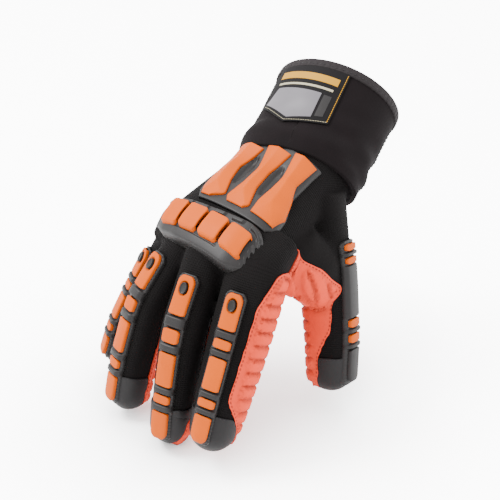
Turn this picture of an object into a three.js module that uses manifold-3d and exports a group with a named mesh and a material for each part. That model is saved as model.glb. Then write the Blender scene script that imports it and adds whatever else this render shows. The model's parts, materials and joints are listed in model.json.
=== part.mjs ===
// Right-hand impact work glove with a long neoprene cuff, kept in the shape of a hand that leans
// on its fingertips: the back of the hand falls forwards, fingers and thumb reach down, the cuff
// climbs behind. Millimetres, +Z up, +Y from the fingers to the cuff, +X to the thumb's side.
// The origin is the middle of the cuff's mouth, where the hand goes in.
import * as THREE from 'three';
import { mergeVertices } from 'three/addons/utils/BufferGeometryUtils.js';
import Module from 'manifold-3d';

const wasm = await Module();
wasm.setup();

// Hand and cuff
const palmLength = 84; // wrist to the middle knuckle
const palmWidth = 88; // across the knuckles
const palmThickness = 34; // at the knuckles
const wristWidth = 74;
const wristThickness = 52;
const fabricWall = 2; // knit back and lining
const cuffLength = 58; // wrist to the mouth
const mouthWidth = 82;
const mouthThickness = 70;
const cuffWall = 2.6; // neoprene
const rollHeight = 3; // the soft fold of the cuff over the wrist
const clearance = 0.3; // between pieces that touch
const wristOpening = 12; // the hollow of the hand runs out this far past its end

// Sheet goods and rubber guards
const palmPanelThickness = 2.2;
const capThickness = 1.1;
const guardBaseThickness = 2;
const guardPadThickness = 1.8;
const guardRidgeHeight = 4.4;
const ridgeSlope = 0.7; // each way along the strip
const ridgeGap = 0.2; // from a pad to its ridge
const eyeletLength = 7;
const eyeletWidth = 4.6;
const eyeletHeight = 1.4; // above its pad
const fingerGuardWidth = 14;
const fingerPadWidth = 11;
const thumbGuardWidth = 16;
const thumbPadWidth = 12;
const bindingWidth = 5;
const bindingThickness = 1;
const labelThickness = 0.8;
const printThickness = 0.5;
const blockHeight = 2.2; // of the knuckle guard's blocks
const blockGap = 2.5;
const blockCorner = 1.5;

// Pose of the hand, in degrees
const palmSlope = 17; // the back of the hand falls towards the fingers
const palmRoll = 3; // its thumb side is the higher one
const cuffRise = 27;
const cuffSwing = 17; // to the little finger's side

// One row for each digit. Its root is given from the wrist as shares of the palm: ahead of its
// length, across of half its width and above of its thickness. splay, droop and roll turn it there,
// and bends are those of its joints, all in degrees. phalanges are lengths to each joint and the tip.
const digitTable = {
  index: {
    ahead: 0.93, across: 0.85, above: 0, splay: 18, droop: 0, roll: -13,
    phalanges: [50, 32, 33], bends: [46, 0, 4], width: 35, tipWidth: 23, depth: 28,
  },
  middle: {
    ahead: 0.99, across: 0.09, above: 0.1, splay: 13, droop: 0, roll: -7,
    phalanges: [52, 41, 33], bends: [37, 20, 4], width: 27, tipWidth: 22, depth: 27,
  },
  ring: {
    ahead: 0.96, across: -0.39, above: 0, splay: -13, droop: 0, roll: 4,
    phalanges: [50, 38, 33], bends: [34, 18, 6], width: 25, tipWidth: 21, depth: 25,
  },
  little: {
    ahead: 0.93, across: -0.82, above: -0.28, splay: -29, droop: 0, roll: 5,
    phalanges: [43, 29, 29], bends: [45, 2, 8], width: 22, tipWidth: 19, depth: 22,
  },
  thumb: {
    ahead: 0.21, across: 0.66, above: -0.4, splay: 32, droop: 58, roll: -78,
    phalanges: [40, 36, 35], bends: [0, 2, 4], width: 28, tipWidth: 21, depth: 30,
  },
};

// Palm sections, with shares of the palm or wrist they blend between
const palmTable = [
  { at: -0.14, width: 0.96, back: 0.96, front: 0.96 },
  { at: 0.02, width: 0.94, back: 0.96, front: 0.94 },
  { at: 0.22, width: 0.87, back: 1.12, front: 1 },
  { at: 0.5, width: 0.89, back: 1.22, front: 0.96 },
  { at: 0.8, width: 0.96, back: 1.12, front: 0.9 },
  { at: 1, width: 1, back: 0.98, front: 0.8 },
  { at: 1.12, width: 0.92, back: 0.6, front: 0.5 },
];

// The web of skin between index finger and thumb, as shares like the digits' roots
const webTable = [
  { ahead: 0.78, across: 0.62, above: -0.15, long: 22, thick: 12 },
  { ahead: 0.76, across: 0.88, above: -0.5, long: 22, thick: 12 },
  { ahead: 0.66, across: 1.0, above: -0.95, long: 19, thick: 12 },
  { ahead: 0.58, across: 1.0, above: -1.5, long: 14, thick: 11 },
];

// Cuff sections: at is a share of its length from the wrist, open of the way from wrist to mouth size
const cuffTable = [
  { at: -0.2, open: 0, roll: 0 },
  { at: -0.05, open: 0.2, roll: 0.7 },
  { at: 0.05, open: 0.35, roll: 1 },
  { at: 0.13, open: 0.4, roll: 0.75 },
  { at: 0.22, open: 0.5, roll: 0.1 },
  { at: 1, open: 1, roll: 0 },
];

const rad = THREE.MathUtils.degToRad;
const lerp = THREE.MathUtils.lerp;
const smooth = THREE.MathUtils.smoothstep;
const clamp = THREE.MathUtils.clamp;
const steps = (from, to, count) => Array.from({ length: count + 1 }, (_, i) => lerp(from, to, i / count));

// A frame is a place with three directions: along to the fingertips, side to the thumb, up out of the back
function turned(frame, axis, degrees) {
  const spin = new THREE.Quaternion().setFromAxisAngle(frame[axis], rad(degrees));
  const turn = (v) => v.clone().applyQuaternion(spin);
  return { at: frame.at.clone(), along: turn(frame.along), side: turn(frame.side), up: turn(frame.up) };
}

function place(frame, along, side, up) {
  const point = frame.at.clone().addScaledVector(frame.along, along);
  return point.addScaledVector(frame.side, side).addScaledVector(frame.up, up);
}

const level = {
  at: new THREE.Vector3(),
  along: new THREE.Vector3(0, -1, 0),
  side: new THREE.Vector3(1, 0, 0),
  up: new THREE.Vector3(0, 0, 1),
};
const palm = turned(turned(level, 'side', palmSlope), 'along', palmRoll);
const cuffFrame = turned(turned(level, 'up', cuffSwing), 'side', cuffRise);
function palmPlace({ ahead, across, above }) {
  return place(palm, ahead * palmLength, across * palmWidth / 2, above * palmThickness);
}

// A point of a rounded-square section with half sizes w and h; angle 0 is up, 90 the thumb's side
function section(angle, w, h, power) {
  const c = Math.cos(angle);
  const s = Math.sin(angle);
  return [Math.sign(s) * Math.abs(s) ** (2 / power) * w, Math.sign(c) * Math.abs(c) ** (2 / power) * h];
}

const around = (count) => Array.from({ length: count }, (_, i) => (i / count) * 2 * Math.PI);

// Each digit bends in one plane, its middle line summed up in short steps from the turns at its joints
const fingerPower = 2.5;
const lineStep = 0.5;
const jointEase = 10; // a joint's bend is spread this far each way along the digit

class Digit {
  constructor(row) {
    Object.assign(this, row);
    const base = { ...palm, at: palmPlace(row) };
    this.root = turned(turned(turned(base, 'up', row.splay), 'side', row.droop), 'along', row.roll);
    this.length = row.phalanges[0] + row.phalanges[1] + row.phalanges[2];
    this.joints = [0, row.phalanges[0], row.phalanges[0] + row.phalanges[1]];
    this.tipRound = row.tipWidth * 0.5;
    this.inside = -row.width / 2; // the root reaches back into the palm
    this.line = [new THREE.Vector2()];
    for (let s = 0; s < this.length + 2 * jointEase; s += lineStep) {
      const turn = this.turnAt(s + lineStep / 2);
      const step = new THREE.Vector2(lineStep * Math.cos(turn), -lineStep * Math.sin(turn));
      this.line.push(step.add(this.line[this.line.length - 1]));
    }
  }

  turnAt(s) {
    const bent = (bend, i) => rad(bend) * smooth(s, this.joints[i] - jointEase, this.joints[i] + jointEase);
    return this.bends.map(bent).reduce((a, b) => a + b);
  }

  // The frame at arc length s
  frame(s) {
    const turn = this.turnAt(s);
    const i = clamp(s / lineStep, 0, this.line.length - 2);
    const bent = this.line[Math.floor(i)].clone().lerp(this.line[Math.floor(i) + 1], i % 1);
    const before = Math.min(s, 0);
    const { root } = this;
    return {
      at: place(root, bent.x + before * Math.cos(turn), 0, bent.y - before * Math.sin(turn)),
      along: place({ ...root, at: new THREE.Vector3() }, Math.cos(turn), 0, -Math.sin(turn)),
      side: root.side,
      up: place({ ...root, at: new THREE.Vector3() }, Math.sin(turn), 0, Math.cos(turn)),
    };
  }

  // Half width and half depth, drawn in over the round tip
  half(s, grow) {
    const share = clamp(s / this.length, 0, 1);
    const over = clamp((s - this.length + this.tipRound) / (this.tipRound + grow), 0, 0.999);
    const round = Math.sqrt(1 - over * over);
    const w = lerp(this.width, this.tipWidth, share ** 3) / 2;
    const h = this.depth / 2 * lerp(1, 0.84, share * share);
    return [(w + grow) * round, (h + grow) * round];
  }

  skin(s, angle, grow) {
    const [x, z] = section(angle, ...this.half(s, grow), fingerPower);
    return place(this.frame(s), 0, x, z);
  }

  // A point on the back of the digit, side millimetres to the thumb's side of its middle
  back(s, side, grow) {
    const [w, h] = this.half(s, 0);
    const share = clamp(Math.abs(side) / w, 0, 0.98);
    const z = h * (1 - share ** fingerPower) ** (1 / fingerPower);
    return place(this.frame(s), 0, side, z + grow);
  }
}

const digits = Object.fromEntries(Object.entries(digitTable).map(([name, row]) => [name, new Digit(row)]));

// A closed solid through rings of as many points each, capped at both ends
function loft(rings) {
  const n = rings[0].length;
  const points = rings.flat();
  const index = [];
  for (let i = 0; i + 1 < rings.length; i++) {
    for (let j = 0; j < n; j++) {
      const [a, b] = [i * n + j, i * n + ((j + 1) % n)];
      index.push(a, b, a + n, b, b + n, a + n);
    }
  }
  const centre = (ring) => ring.reduce((sum, p) => sum.add(p), new THREE.Vector3()).divideScalar(n);
  points.push(centre(rings[0]), centre(rings[rings.length - 1]));
  const last = (rings.length - 1) * n;
  for (let j = 0; j < n; j++) {
    const next = (j + 1) % n;
    index.push(next, j, points.length - 2, last + j, last + next, points.length - 1);
  }
  return solid(new THREE.BufferGeometry().setFromPoints(points).setIndex(index));
}

// A closed ring through sections that follow one another round, such as a binding
function hoop(sections) {
  const n = sections[0].length;
  const index = [];
  for (let i = 0; i < sections.length; i++) {
    const next = ((i + 1) % sections.length) * n;
    for (let j = 0; j < n; j++) {
      const k = (j + 1) % n;
      index.push(i * n + j, i * n + k, next + j, i * n + k, next + k, next + j);
    }
  }
  return solid(new THREE.BufferGeometry().setFromPoints(sections.flat()).setIndex(index));
}

// A closed geometry as a solid that can be joined and cut, turned right side out
function solid(geometry) {
  const bare = geometry.clone();
  for (const name of ['normal', 'uv']) bare.deleteAttribute(name);
  const merged = mergeVertices(bare, 1e-4);
  const corners = [...merged.index.array];
  const faces = [];
  for (let i = 0; i < corners.length; i += 3) {
    const [a, b, c] = corners.slice(i, i + 3);
    if (a !== b && b !== c && a !== c) faces.push([a, b, c]);
  }
  const make = (triangles) => new wasm.Manifold(new wasm.Mesh({
    numProp: 3,
    vertProperties: new Float32Array(merged.attributes.position.array),
    triVerts: new Uint32Array(triangles.flat()),
  }));
  const made = make(faces);
  return made.volume() > 0 ? made : make(faces.map(([a, b, c]) => [b, a, c]));
}

const join = (solids) => solids.reduce((a, b) => a.add(b));

// The largest body of a cut piece, without crumbs
function mainBody(cut) {
  return cut.decompose().reduce((a, b) => (b.volume() > a.volume() ? b : a));
}

// An outline of [ahead, across] points raised into a block that stands on a frame, from low to high
function prism(frame, outline, low, high) {
  const shape = new THREE.Shape(outline.map(([x, y]) => new THREE.Vector2(x, y)));
  const block = new THREE.ExtrudeGeometry(shape, { depth: high - low, bevelEnabled: false });
  const axes = new THREE.Matrix4().makeBasis(frame.along, frame.side, frame.up).setPosition(frame.at);
  return solid(block.translate(0, 0, low).applyMatrix4(axes));
}

// A sheet that lies on a surface: rows are places along it, each with the range across and two heights
function sheet(surface, rows, divisions) {
  return loft(rows.map(({ u, from, to, low, high }) => [
    ...steps(from, to, divisions).map((v) => surface(u, v, low)),
    ...steps(to, from, divisions).map((v) => surface(u, v, high)),
  ]));
}

// Forms of the hand, each grown outwards by grow, with more sections where the digit bends.
// The hollow is the hand grown inwards, with fewer sections.
const kneeBend = 10; // degrees, above which a joint takes three sections
const kneeStep = 8;
const tipTurns = [42, 76]; // sections over the round tip, in degrees

function digitForm(digit, grow, sides = 10) {
  const tip = digit.length - digit.tipRound;
  const [root, first, second] = digit.joints;
  const hollow = grow < 0;
  const knee = digit.bends[1] > kneeBend && !hollow ? [first - kneeStep, first, first + kneeStep] : [first];
  const base = hollow ? [root + jointEase / 2] : [root, root + jointEase];
  const rows = [digit.inside - grow, ...base, ...knee, second, tip];
  for (const turn of tipTurns) rows.push(tip + (digit.tipRound + grow) * Math.sin(rad(turn)));
  return loft(rows.map((s) => around(sides).map((a) => digit.skin(s, a, grow))));
}

const palmPower = 2.6;

// Half width, back and front heights of the palm at a share of its length
function palmSizes(at) {
  const next = clamp(palmTable.findIndex((row) => row.at >= at), 1, palmTable.length - 1);
  const sizes = [palmTable[next - 1], palmTable[next]].map((row) => {
    const blend = smooth(row.at, 0, 0.4);
    const thick = lerp(wristThickness, palmThickness, blend) / 2;
    return [lerp(wristWidth, palmWidth, blend) / 2 * row.width, thick * row.back, thick * row.front];
  });
  const share = clamp((at - palmTable[next - 1].at) / (palmTable[next].at - palmTable[next - 1].at), 0, 1);
  return sizes[0].map((size, i) => lerp(size, sizes[1][i], share));
}

function palmForm(grow, sides) {
  return loft(palmTable.map(({ at }) => {
    const [w, back, front] = palmSizes(at);
    const past = grow < 0 && at < 0 ? -wristOpening : grow * Math.sign(at);
    return around(sides).map((a) => {
      const [x, z] = section(a, w + grow, (Math.cos(a) > 0 ? back : front) + grow, palmPower);
      return place(palm, at * palmLength + past, x, z);
    });
  }));
}

// A point on the back of the hand
function palmBack(ahead, across, grow) {
  const [w, back] = palmSizes(ahead / palmLength);
  const share = clamp(Math.abs(across) / w, 0, 0.98);
  return place(palm, ahead, across, back * (1 - share ** palmPower) ** (1 / palmPower) + grow);
}

// Sections of the web: ahead points out of its edge, out to the palm's side
function webRows() {
  const path = new THREE.CatmullRomCurve3(webTable.map(palmPlace));
  const sizes = new THREE.CatmullRomCurve3(webTable.map((row) => new THREE.Vector3(row.long, row.thick, 0)));
  return steps(0, 1, 5).map((t) => {
    const tangent = path.getTangent(t);
    const ahead = palm.along.clone().addScaledVector(tangent, -palm.along.dot(tangent)).normalize();
    const out = new THREE.Vector3().crossVectors(tangent, ahead);
    const { x: long, y: thick } = sizes.getPoint(t);
    return { at: path.getPoint(t), ahead, out, long, thick };
  });
}

function webForm(grow, sides) {
  return loft(webRows().map(({ at, ahead, out, long, thick }) => around(sides).map((a) => {
    const [u, v] = section(a, long + grow, thick + grow, 2);
    return at.clone().addScaledVector(ahead, u - long / 2).addScaledVector(out, v);
  })));
}

function handForm(grow, sides = 10, palmSides = 16) {
  const parts = Object.values(digits).map((digit) => digitForm(digit, grow, sides));
  return join([palmForm(grow, palmSides), webForm(grow, 8), ...parts]);
}

// The cuff's skin: at is the share of its length, angle runs from its back round by the thumb's side
const cuffSides = 18;

function cuffSkin(at, angle, grow) {
  const next = Math.max(1, cuffTable.findIndex((row) => row.at >= at));
  const [a, b] = [cuffTable[next - 1], cuffTable[next]];
  const share = clamp((at - a.at) / (b.at - a.at), 0, 1);
  const open = lerp(a.open, b.open, share);
  const fit = cuffWall + clearance;
  const bulge = lerp(a.roll, b.roll, share) * rollHeight * smooth(Math.cos(angle + rad(25)), -0.4, 0.7);
  const w = lerp(wristWidth / 2 + fit, mouthWidth / 2, open) + bulge + grow;
  const h = lerp(wristThickness / 2 + fit, mouthThickness / 2, open) + bulge + grow;
  return place(cuffFrame, -at * cuffLength, Math.sin(angle) * w, Math.cos(angle) * h);
}

// The cuff's form grown by grow, longer by past at both ends
function cuffForm(grow, past) {
  const rings = cuffTable.map(({ at }) => around(cuffSides).map((a) => cuffSkin(at, a, grow)));
  const moved = (ring, by) => ring.map((p) => p.clone().addScaledVector(cuffFrame.along, by));
  return loft(past ? [moved(rings[0], past), ...rings, moved(rings[rings.length - 1], -past)] : rings);
}

const coverCuff = cuffForm(clearance, clearance);

// Materials
const finish = (color, roughness) => new THREE.MeshStandardMaterial({ color, roughness, metalness: 0 });
const blackKnit = finish('#1c1a1c', 0.95);
const neoprene = finish('#262021', 0.85);
const blackTape = finish('#2b2728', 0.9);
const coralLeather = finish('#fb7a60', 0.7);
const orangeRubber = finish('#ff7a2c', 0.5);
const blackRubber = finish('#3b3737', 0.55);
const blackLeather = finish('#353133', 0.6);
const blackLabel = finish('#161415', 0.6);
const greyReflective = finish('#a9a6aa', 0.35);
const yellowPrint = finish('#eab93a', 0.6);

const glove = new THREE.Group();
const hand = new THREE.Group();
hand.position.copy(place(cuffFrame, -cuffLength, 0, 0)).negate();
glove.add(hand);

function addPiece(name, material, form) {
  const mesh = form.getMesh();
  const geometry = new THREE.BufferGeometry();
  geometry.setAttribute('position', new THREE.BufferAttribute(new Float32Array(mesh.vertProperties), 3));
  geometry.setIndex(new THREE.BufferAttribute(new Uint32Array(mesh.triVerts), 1));
  const piece = new THREE.Mesh(geometry, material);
  piece.name = name;
  hand.add(piece);
}

// The knit hand: a hollow shell, open at the wrist
const outerHand = handForm(0);
const coverHand = handForm(clearance).add(outerHand); // what lies on the hand is cut by this

addPiece('hand_shell', blackKnit, mainBody(outerHand.subtract(handForm(-fabricWall, 8, 14))));

// The coral panel: everything below a tilted line across each digit and across the palm.
// at is a share of the digit's length, thumb and little are the line's heights at those two sides,
// as shares of half the digit's depth.
const panelEdgeTable = {
  index: [
    { at: -0.1, thumb: -0.6, little: -0.6 },
    { at: 0.1, thumb: -0.4, little: -0.5 },
    { at: 0.3, thumb: 0.85, little: -0.4 },
    { at: 0.75, thumb: 0.88, little: -0.4 },
    { at: 0.87, thumb: 0, little: -0.5 },
    { at: 1.2, thumb: -0.4, little: -0.5 },
  ],
  middle: [{ at: -0.1, thumb: -0.5, little: -0.5 }, { at: 1.2, thumb: -0.4, little: -0.4 }],
  ring: [{ at: -0.1, thumb: -0.5, little: -0.5 }, { at: 1.2, thumb: -0.4, little: -0.4 }],
  little: [{ at: -0.1, thumb: -0.5, little: -0.3 }, { at: 1.2, thumb: -0.4, little: -0.3 }],
  thumb: [
    { at: 0.15, thumb: -0.2, little: -0.4 },
    { at: 0.33, thumb: -0.1, little: 0.1 },
    { at: 0.48, thumb: 0, little: 0.55 },
    { at: 0.6, thumb: 0, little: 0.5 },
    { at: 0.78, thumb: -0.4, little: -0.7 },
    { at: 1.2, thumb: -0.5, little: -0.7 },
  ],
};

const cutterStep = 0.3; // longest step along a digit, as a share of its length
const cutterPast = 3; // how far a cutter reaches past the panel
function panelCutter(digit, rows, lift) {
  const half = digit.width / 2 + cutterPast;
  const depth = digit.depth / 2;
  const low = -depth - 2 * cutterPast;
  const last = rows.length - 1;
  const places = rows.flatMap((row, i) => {
    const count = i < last ? Math.ceil((rows[i + 1].at - row.at) / cutterStep) : 1;
    return i < last ? steps(row.at, rows[i + 1].at, count).slice(0, count) : [row.at];
  });
  return loft(places.map((at) => {
    const next = Math.max(1, rows.findIndex((row) => row.at >= at));
    const share = (at - rows[next - 1].at) / (rows[next].at - rows[next - 1].at);
    const edge = (side) => lerp(rows[next - 1][side], rows[next][side], share) * depth + lift;
    const frame = digit.frame(at * digit.length);
    const corners = [[-half, edge('little')], [half, edge('thumb')], [half, low], [-half, low]];
    return corners.map(([x, z]) => place(frame, 0, x, z));
  }));
}

// The panel covers the palm's side of the web and wraps round its edge. The cutters reach past the
// web by shares of its length and thickness.
const webHem = 11; // how far the panel comes back over the edge
const webReach = { back: 1.5, edge: 0.9, thick: 1.6, palmSide: 0.5 };
function webCutter() {
  const block = (from, low) => loft(webRows().map(({ at, ahead, out, long, thick }) => {
    const [back, front] = [from(long), webReach.edge * long];
    const corners = [[back, low], [front, low], [front, webReach.thick], [back, webReach.thick]];
    return corners.map(([u, v]) => at.clone().addScaledVector(ahead, u).addScaledVector(out, v * thick));
  }));
  const palmSide = block((long) => -webReach.back * long, webReach.palmSide);
  return palmSide.add(block((long) => long / 2 - webHem, -webReach.thick));
}

// The panel under the palm: corners as shares of the palm's length and of half its width
const palmOutline = [
  { ahead: 0.05, across: -1.3 },
  { ahead: 0.05, across: 0.14 },
  { ahead: 1.05, across: 0.68 },
  { ahead: 1.05, across: -1.3 },
];
const palmPanelTop = -4;
const palmPanelDepth = 60;

function palmPanel() {
  const onDigits = Object.entries(digits).map(([name, digit]) => {
    return digitForm(digit, palmPanelThickness, 8).intersect(panelCutter(digit, panelEdgeTable[name], 0));
  });
  const corners = palmOutline.map(({ ahead, across }) => [ahead * palmLength, across * palmWidth / 2]);
  const underPalm = prism(palm, corners, -palmPanelDepth, palmPanelTop);
  const palmAndWeb = palmForm(palmPanelThickness, 14).add(webForm(palmPanelThickness, 8));
  const whole = join([palmAndWeb.intersect(underPalm.add(webCutter())), ...onDigits]);
  return mainBody(whole.subtract(coverHand).subtract(coverCuff));
}

addPiece('palm_panel', coralLeather, palmPanel());

// Fingertip caps, over the back and the sides of each tip
const capStart = 0.787; // as a share of the digit's length

function fingertipCap(name) {
  const digit = digits[name];
  const start = capStart * digit.length;
  const layer = digitForm(digit, capThickness).subtract(coverHand);
  const half = digit.width;
  const corners = [[-half, -half], [half, -half], [half, half], [-half, half]];
  const ring = (s) => corners.map(([x, z]) => place(digit.frame(s), 0, x, z));
  const zone = loft([ring(start), ring(digit.length + digit.tipRound)]);
  return mainBody(layer.intersect(zone).subtract(panelCutter(digit, panelEdgeTable[name], clearance)));
}

for (const name of Object.keys(digits)) addPiece(`${name}_tip_cap`, blackLeather, fingertipCap(name));

// Finger guards: a rubber strip with raised cross ridges, and orange pads between the ridges.
// from and to are shares of the way from the guard's start to its end.
const padTable = [
  { name: 'knuckle_pad', from: 0.01, to: 0.25 },
  { name: 'short_bar_1', from: 0.31, to: 0.375 },
  { name: 'long_bar', from: 0.43, to: 0.645 },
  { name: 'short_bar_2', from: 0.695, to: 0.75 },
  { name: 'tip_pad', from: 0.8, to: 0.985 },
];
const thumbTipPad = { name: 'tip_pad', from: 0.73, to: 0.97 };
const thumbPadTable = [
  { name: 'short_bar_1', from: 0.02, to: 0.07 },
  { name: 'short_bar_2', from: 0.11, to: 0.16 },
  { name: 'short_bar_3', from: 0.53, to: 0.59 },
  { name: 'short_bar_4', from: 0.63, to: 0.69 },
];
const guardTable = {
  index: { start: 0.15, end: 0.96, scale: 1, shift: -3 },
  middle: { start: 0.16, end: 0.96, scale: 1, shift: 0 },
  ring: { start: 0.15, end: 0.96, scale: 0.94, shift: 0 },
  little: { start: 0.16, end: 0.96, scale: 0.84, shift: 0 },
  thumb: { start: 0.14, end: 0.96, scale: 1, shift: 0 },
};

const eyeletAt = 0.09; // share of the guard's length
const stripEnd = { height: 0.6, width: 0.65, slope: 1.5 }; // a strip is lower and narrower at its ends
const padEnd = 0.7; // and so are the first and last pads in width
const widest = 0.85; // share of the digit's width
const longPad = 12; // a longer pad takes a section in its middle
const tipParts = [0, 0.35]; // sections over the round of the tip

class Guard {
  constructor(name) {
    const thumb = name === 'thumb';
    this.thumb = thumb;
    const { start, end, scale, shift } = guardTable[name];
    this.digit = digits[name];
    this.shift = shift; // towards the thumb's side
    this.start = start * this.digit.length;
    this.end = end * this.digit.length;
    this.tip = this.digit.length - this.digit.tipRound;
    this.capEdge = capStart * this.digit.length - 2 * clearance;
    this.width = scale * (thumb ? thumbGuardWidth : fingerGuardWidth);
    this.padWidth = scale * (thumb ? thumbPadWidth : fingerPadWidth);
    this.pads = thumb ? thumbPadTable : padTable;
  }

  at(share) {
    return lerp(this.start, this.end, share);
  }

  // Past the cap's edge the strip lies on the cap
  seat(s) {
    return s > this.capEdge ? capThickness + 2.5 * clearance : clearance;
  }

  // The strip narrows with the tip
  row(s, width, low, high) {
    const most = widest * this.digit.half(s, 0)[0];
    const [from, to] = [this.shift - width / 2, this.shift + width / 2].map((v) => clamp(v, -most, most));
    return { u: s, from, to, low: this.seat(s) + low, high: this.seat(s) + high };
  }

  sheet(rows) {
    return sheet((s, side, height) => this.digit.back(s, side, height), rows, 2);
  }

  // The strip is low under the pads and high at the ridges between them
  base() {
    const rows = [];
    const add = (s, high, narrow = 1) => rows.push(this.row(s, this.width * narrow, 0, high));
    add(this.start, stripEnd.height * guardBaseThickness, stripEnd.width);
    add(this.start + stripEnd.slope, guardBaseThickness);
    this.pads.forEach((pad, i) => {
      const [from, to] = [this.at(pad.from), this.at(pad.to)];
      if (i > 0) {
        const before = this.at(this.pads[i - 1].to);
        add(before + ridgeGap, guardBaseThickness);
        add(before + ridgeGap + ridgeSlope, guardRidgeHeight);
        add(from - ridgeGap - ridgeSlope, guardRidgeHeight);
        add(from - ridgeGap, guardBaseThickness);
      }
      if (to - from > longPad) add((from + to) / 2, guardBaseThickness);
    });
    for (const s of [this.capEdge - clearance, this.capEdge + lineStep / 10]) {
      const near = rows.filter((row) => row.u < s).pop();
      rows.push(this.row(s, this.width, 0, near.high - this.seat(near.u)));
    }
    for (const part of tipParts) add(this.tip + part * this.digit.tipRound, guardBaseThickness);
    add(this.end, stripEnd.height * guardBaseThickness, stripEnd.width);
    rows.sort((a, b) => a.u - b.u);
    this.places = rows.map((row) => row.u);
    const strip = this.thumb ? this.sheet(rows) : this.sheet(rows).add(this.eyelet(0));
    return mainBody(strip.subtract(coverHand));
  }

  pad({ name, from, to }) {
    const [a, b] = [this.at(from) + clearance, this.at(to) - clearance];
    const low = guardBaseThickness + clearance;
    const high = low + guardPadThickness;
    const between = this.places.filter((s) => s > a + 1 && s < b - 1);
    const rows = [a, ...between, b].map((s) => this.row(s, this.padWidth, low, high));
    if (name === 'knuckle_pad') rows[0] = this.row(a, this.padWidth * padEnd, low, high);
    if (name === 'tip_pad') rows[rows.length - 1] = this.row(b, this.padWidth * padEnd, low, high);
    const block = this.sheet(rows);
    return name === 'knuckle_pad' ? block.subtract(this.eyelet(clearance)) : block;
  }

  // An oval stud that stands in a hole of the knuckle pad
  eyelet(grow) {
    const at = this.at(eyeletAt);
    const [, h] = this.digit.half(at, 0);
    const [length, width] = [eyeletLength / 2 + grow, eyeletWidth / 2 + grow];
    const oval = around(8).map((a) => [length * Math.cos(a), this.shift + width * Math.sin(a)]);
    const top = h + guardBaseThickness + guardPadThickness + eyeletHeight + 4 * grow;
    return prism(this.digit.frame(at), oval, h, top);
  }
}

for (const name of Object.keys(digits)) {
  const guard = new Guard(name);
  addPiece(`${name}_guard_strip`, blackRubber, guard.base());
  for (const pad of guard.pads) addPiece(`${name}_${pad.name}`, orangeRubber, guard.pad(pad));
  if (guard.thumb) addPiece(`${name}_${thumbTipPad.name}`, blackRubber, guard.pad(thumbTipPad));
}

// Guard over the back of the hand: a rubber plate and three waisted bars with a ridge along each.
// at is a share of the palm's length, left and right are edges as shares of half its width.
const plateTable = [
  { at: 0.13, left: -0.52, right: 0.7 },
  { at: 0.22, left: -0.68, right: 0.7 },
  { at: 0.45, left: -0.62, right: 0.72 },
  { at: 0.6, left: -0.6, right: 0.84 },
  { at: 0.73, left: -0.55, right: 0.88 },
  { at: 0.79, left: -0.44, right: 0.78 },
];
const barTable = {
  little_side: [
    { at: 0.22, left: -0.62, right: -0.2 },
    { at: 0.42, left: -0.55, right: -0.29 },
    { at: 0.56, left: -0.54, right: -0.22 },
    { at: 0.7, left: -0.5, right: -0.09 },
    { at: 0.76, left: -0.44, right: -0.3 },
  ],
  middle: [
    { at: 0.18, left: -0.11, right: 0.27 },
    { at: 0.38, left: 0, right: 0.2 },
    { at: 0.54, left: 0.02, right: 0.25 },
    { at: 0.7, left: -0.03, right: 0.37 },
    { at: 0.74, left: 0.04, right: 0.3 },
  ],
  thumb_side: [
    { at: 0.15, left: 0.34, right: 0.66 },
    { at: 0.36, left: 0.43, right: 0.64 },
    { at: 0.5, left: 0.45, right: 0.76 },
    { at: 0.62, left: 0.45, right: 0.84 },
    { at: 0.73, left: 0.48, right: 0.82 },
  ],
};
const barEdge = 1.2;
const barRidge = 3.2;
const handGuardBase = 2;

function onPalm({ at, left, right }, low, high) {
  return { u: at * palmLength, from: left * palmWidth / 2, to: right * palmWidth / 2, low, high };
}

function ridgedBar(rows) {
  const low = clearance + handGuardBase + clearance;
  return loft(rows.map((row) => {
    const { u, from, to } = onPalm(row);
    const middle = (from + to) / 2;
    const heights = [[from, low], [middle, low], [to, low], [to, low + barEdge], [middle, low + barRidge]];
    return [...heights, [from, low + barEdge]].map(([v, height]) => palmBack(u, v, height));
  }));
}

const platform = sheet(palmBack, plateTable.map((row) => onPalm(row, 0, clearance + handGuardBase)), 6);
addPiece('hand_guard_plate', blackRubber, mainBody(platform.subtract(coverHand).subtract(coverCuff)));
for (const [name, rows] of Object.entries(barTable)) {
  addPiece(`hand_guard_bar_${name}`, orangeRubber, mainBody(ridgedBar(rows).subtract(coverCuff)));
}

// Knuckle guard: an arched rubber plate across the knuckles. across is a share of half the palm's
// width, near and far are its edges as shares of the palm's length, top and foot are its heights at
// those edges as shares of half the palm's thickness.
const archTable = [
  { across: -0.86, near: 0.88, far: 1.08, top: 0.82, foot: 0.45 },
  { across: -0.68, near: 0.86, far: 1.12, top: 1.14, foot: 0.62 },
  { across: -0.34, near: 0.85, far: 1.14, top: 1.32, foot: 0.85 },
  { across: 0, near: 0.845, far: 1.145, top: 1.38, foot: 0.93 },
  { across: 0.34, near: 0.83, far: 1.15, top: 1.36, foot: 0.9 },
  { across: 0.64, near: 0.81, far: 1.16, top: 1.24, foot: 0.76 },
  { across: 0.82, near: 0.82, far: 1.12, top: 1.04, foot: 0.58 },
  { across: 0.95, near: 0.89, far: 1.04, top: 0.74, foot: 0.42 },
];
const archThickness = 7; // before the hand is cut out of it
const archCrown = { at: 0.55, drop: 0.4, rise: 1 }; // shares of its way from near to far edge, and a rise
const archEdge = 1.5; // the slanted rim
const blockCount = 4;
const blockSpan = { from: -0.74, to: 0.84, near: 0.895, far: 1.08 }; // shares as in the table

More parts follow.
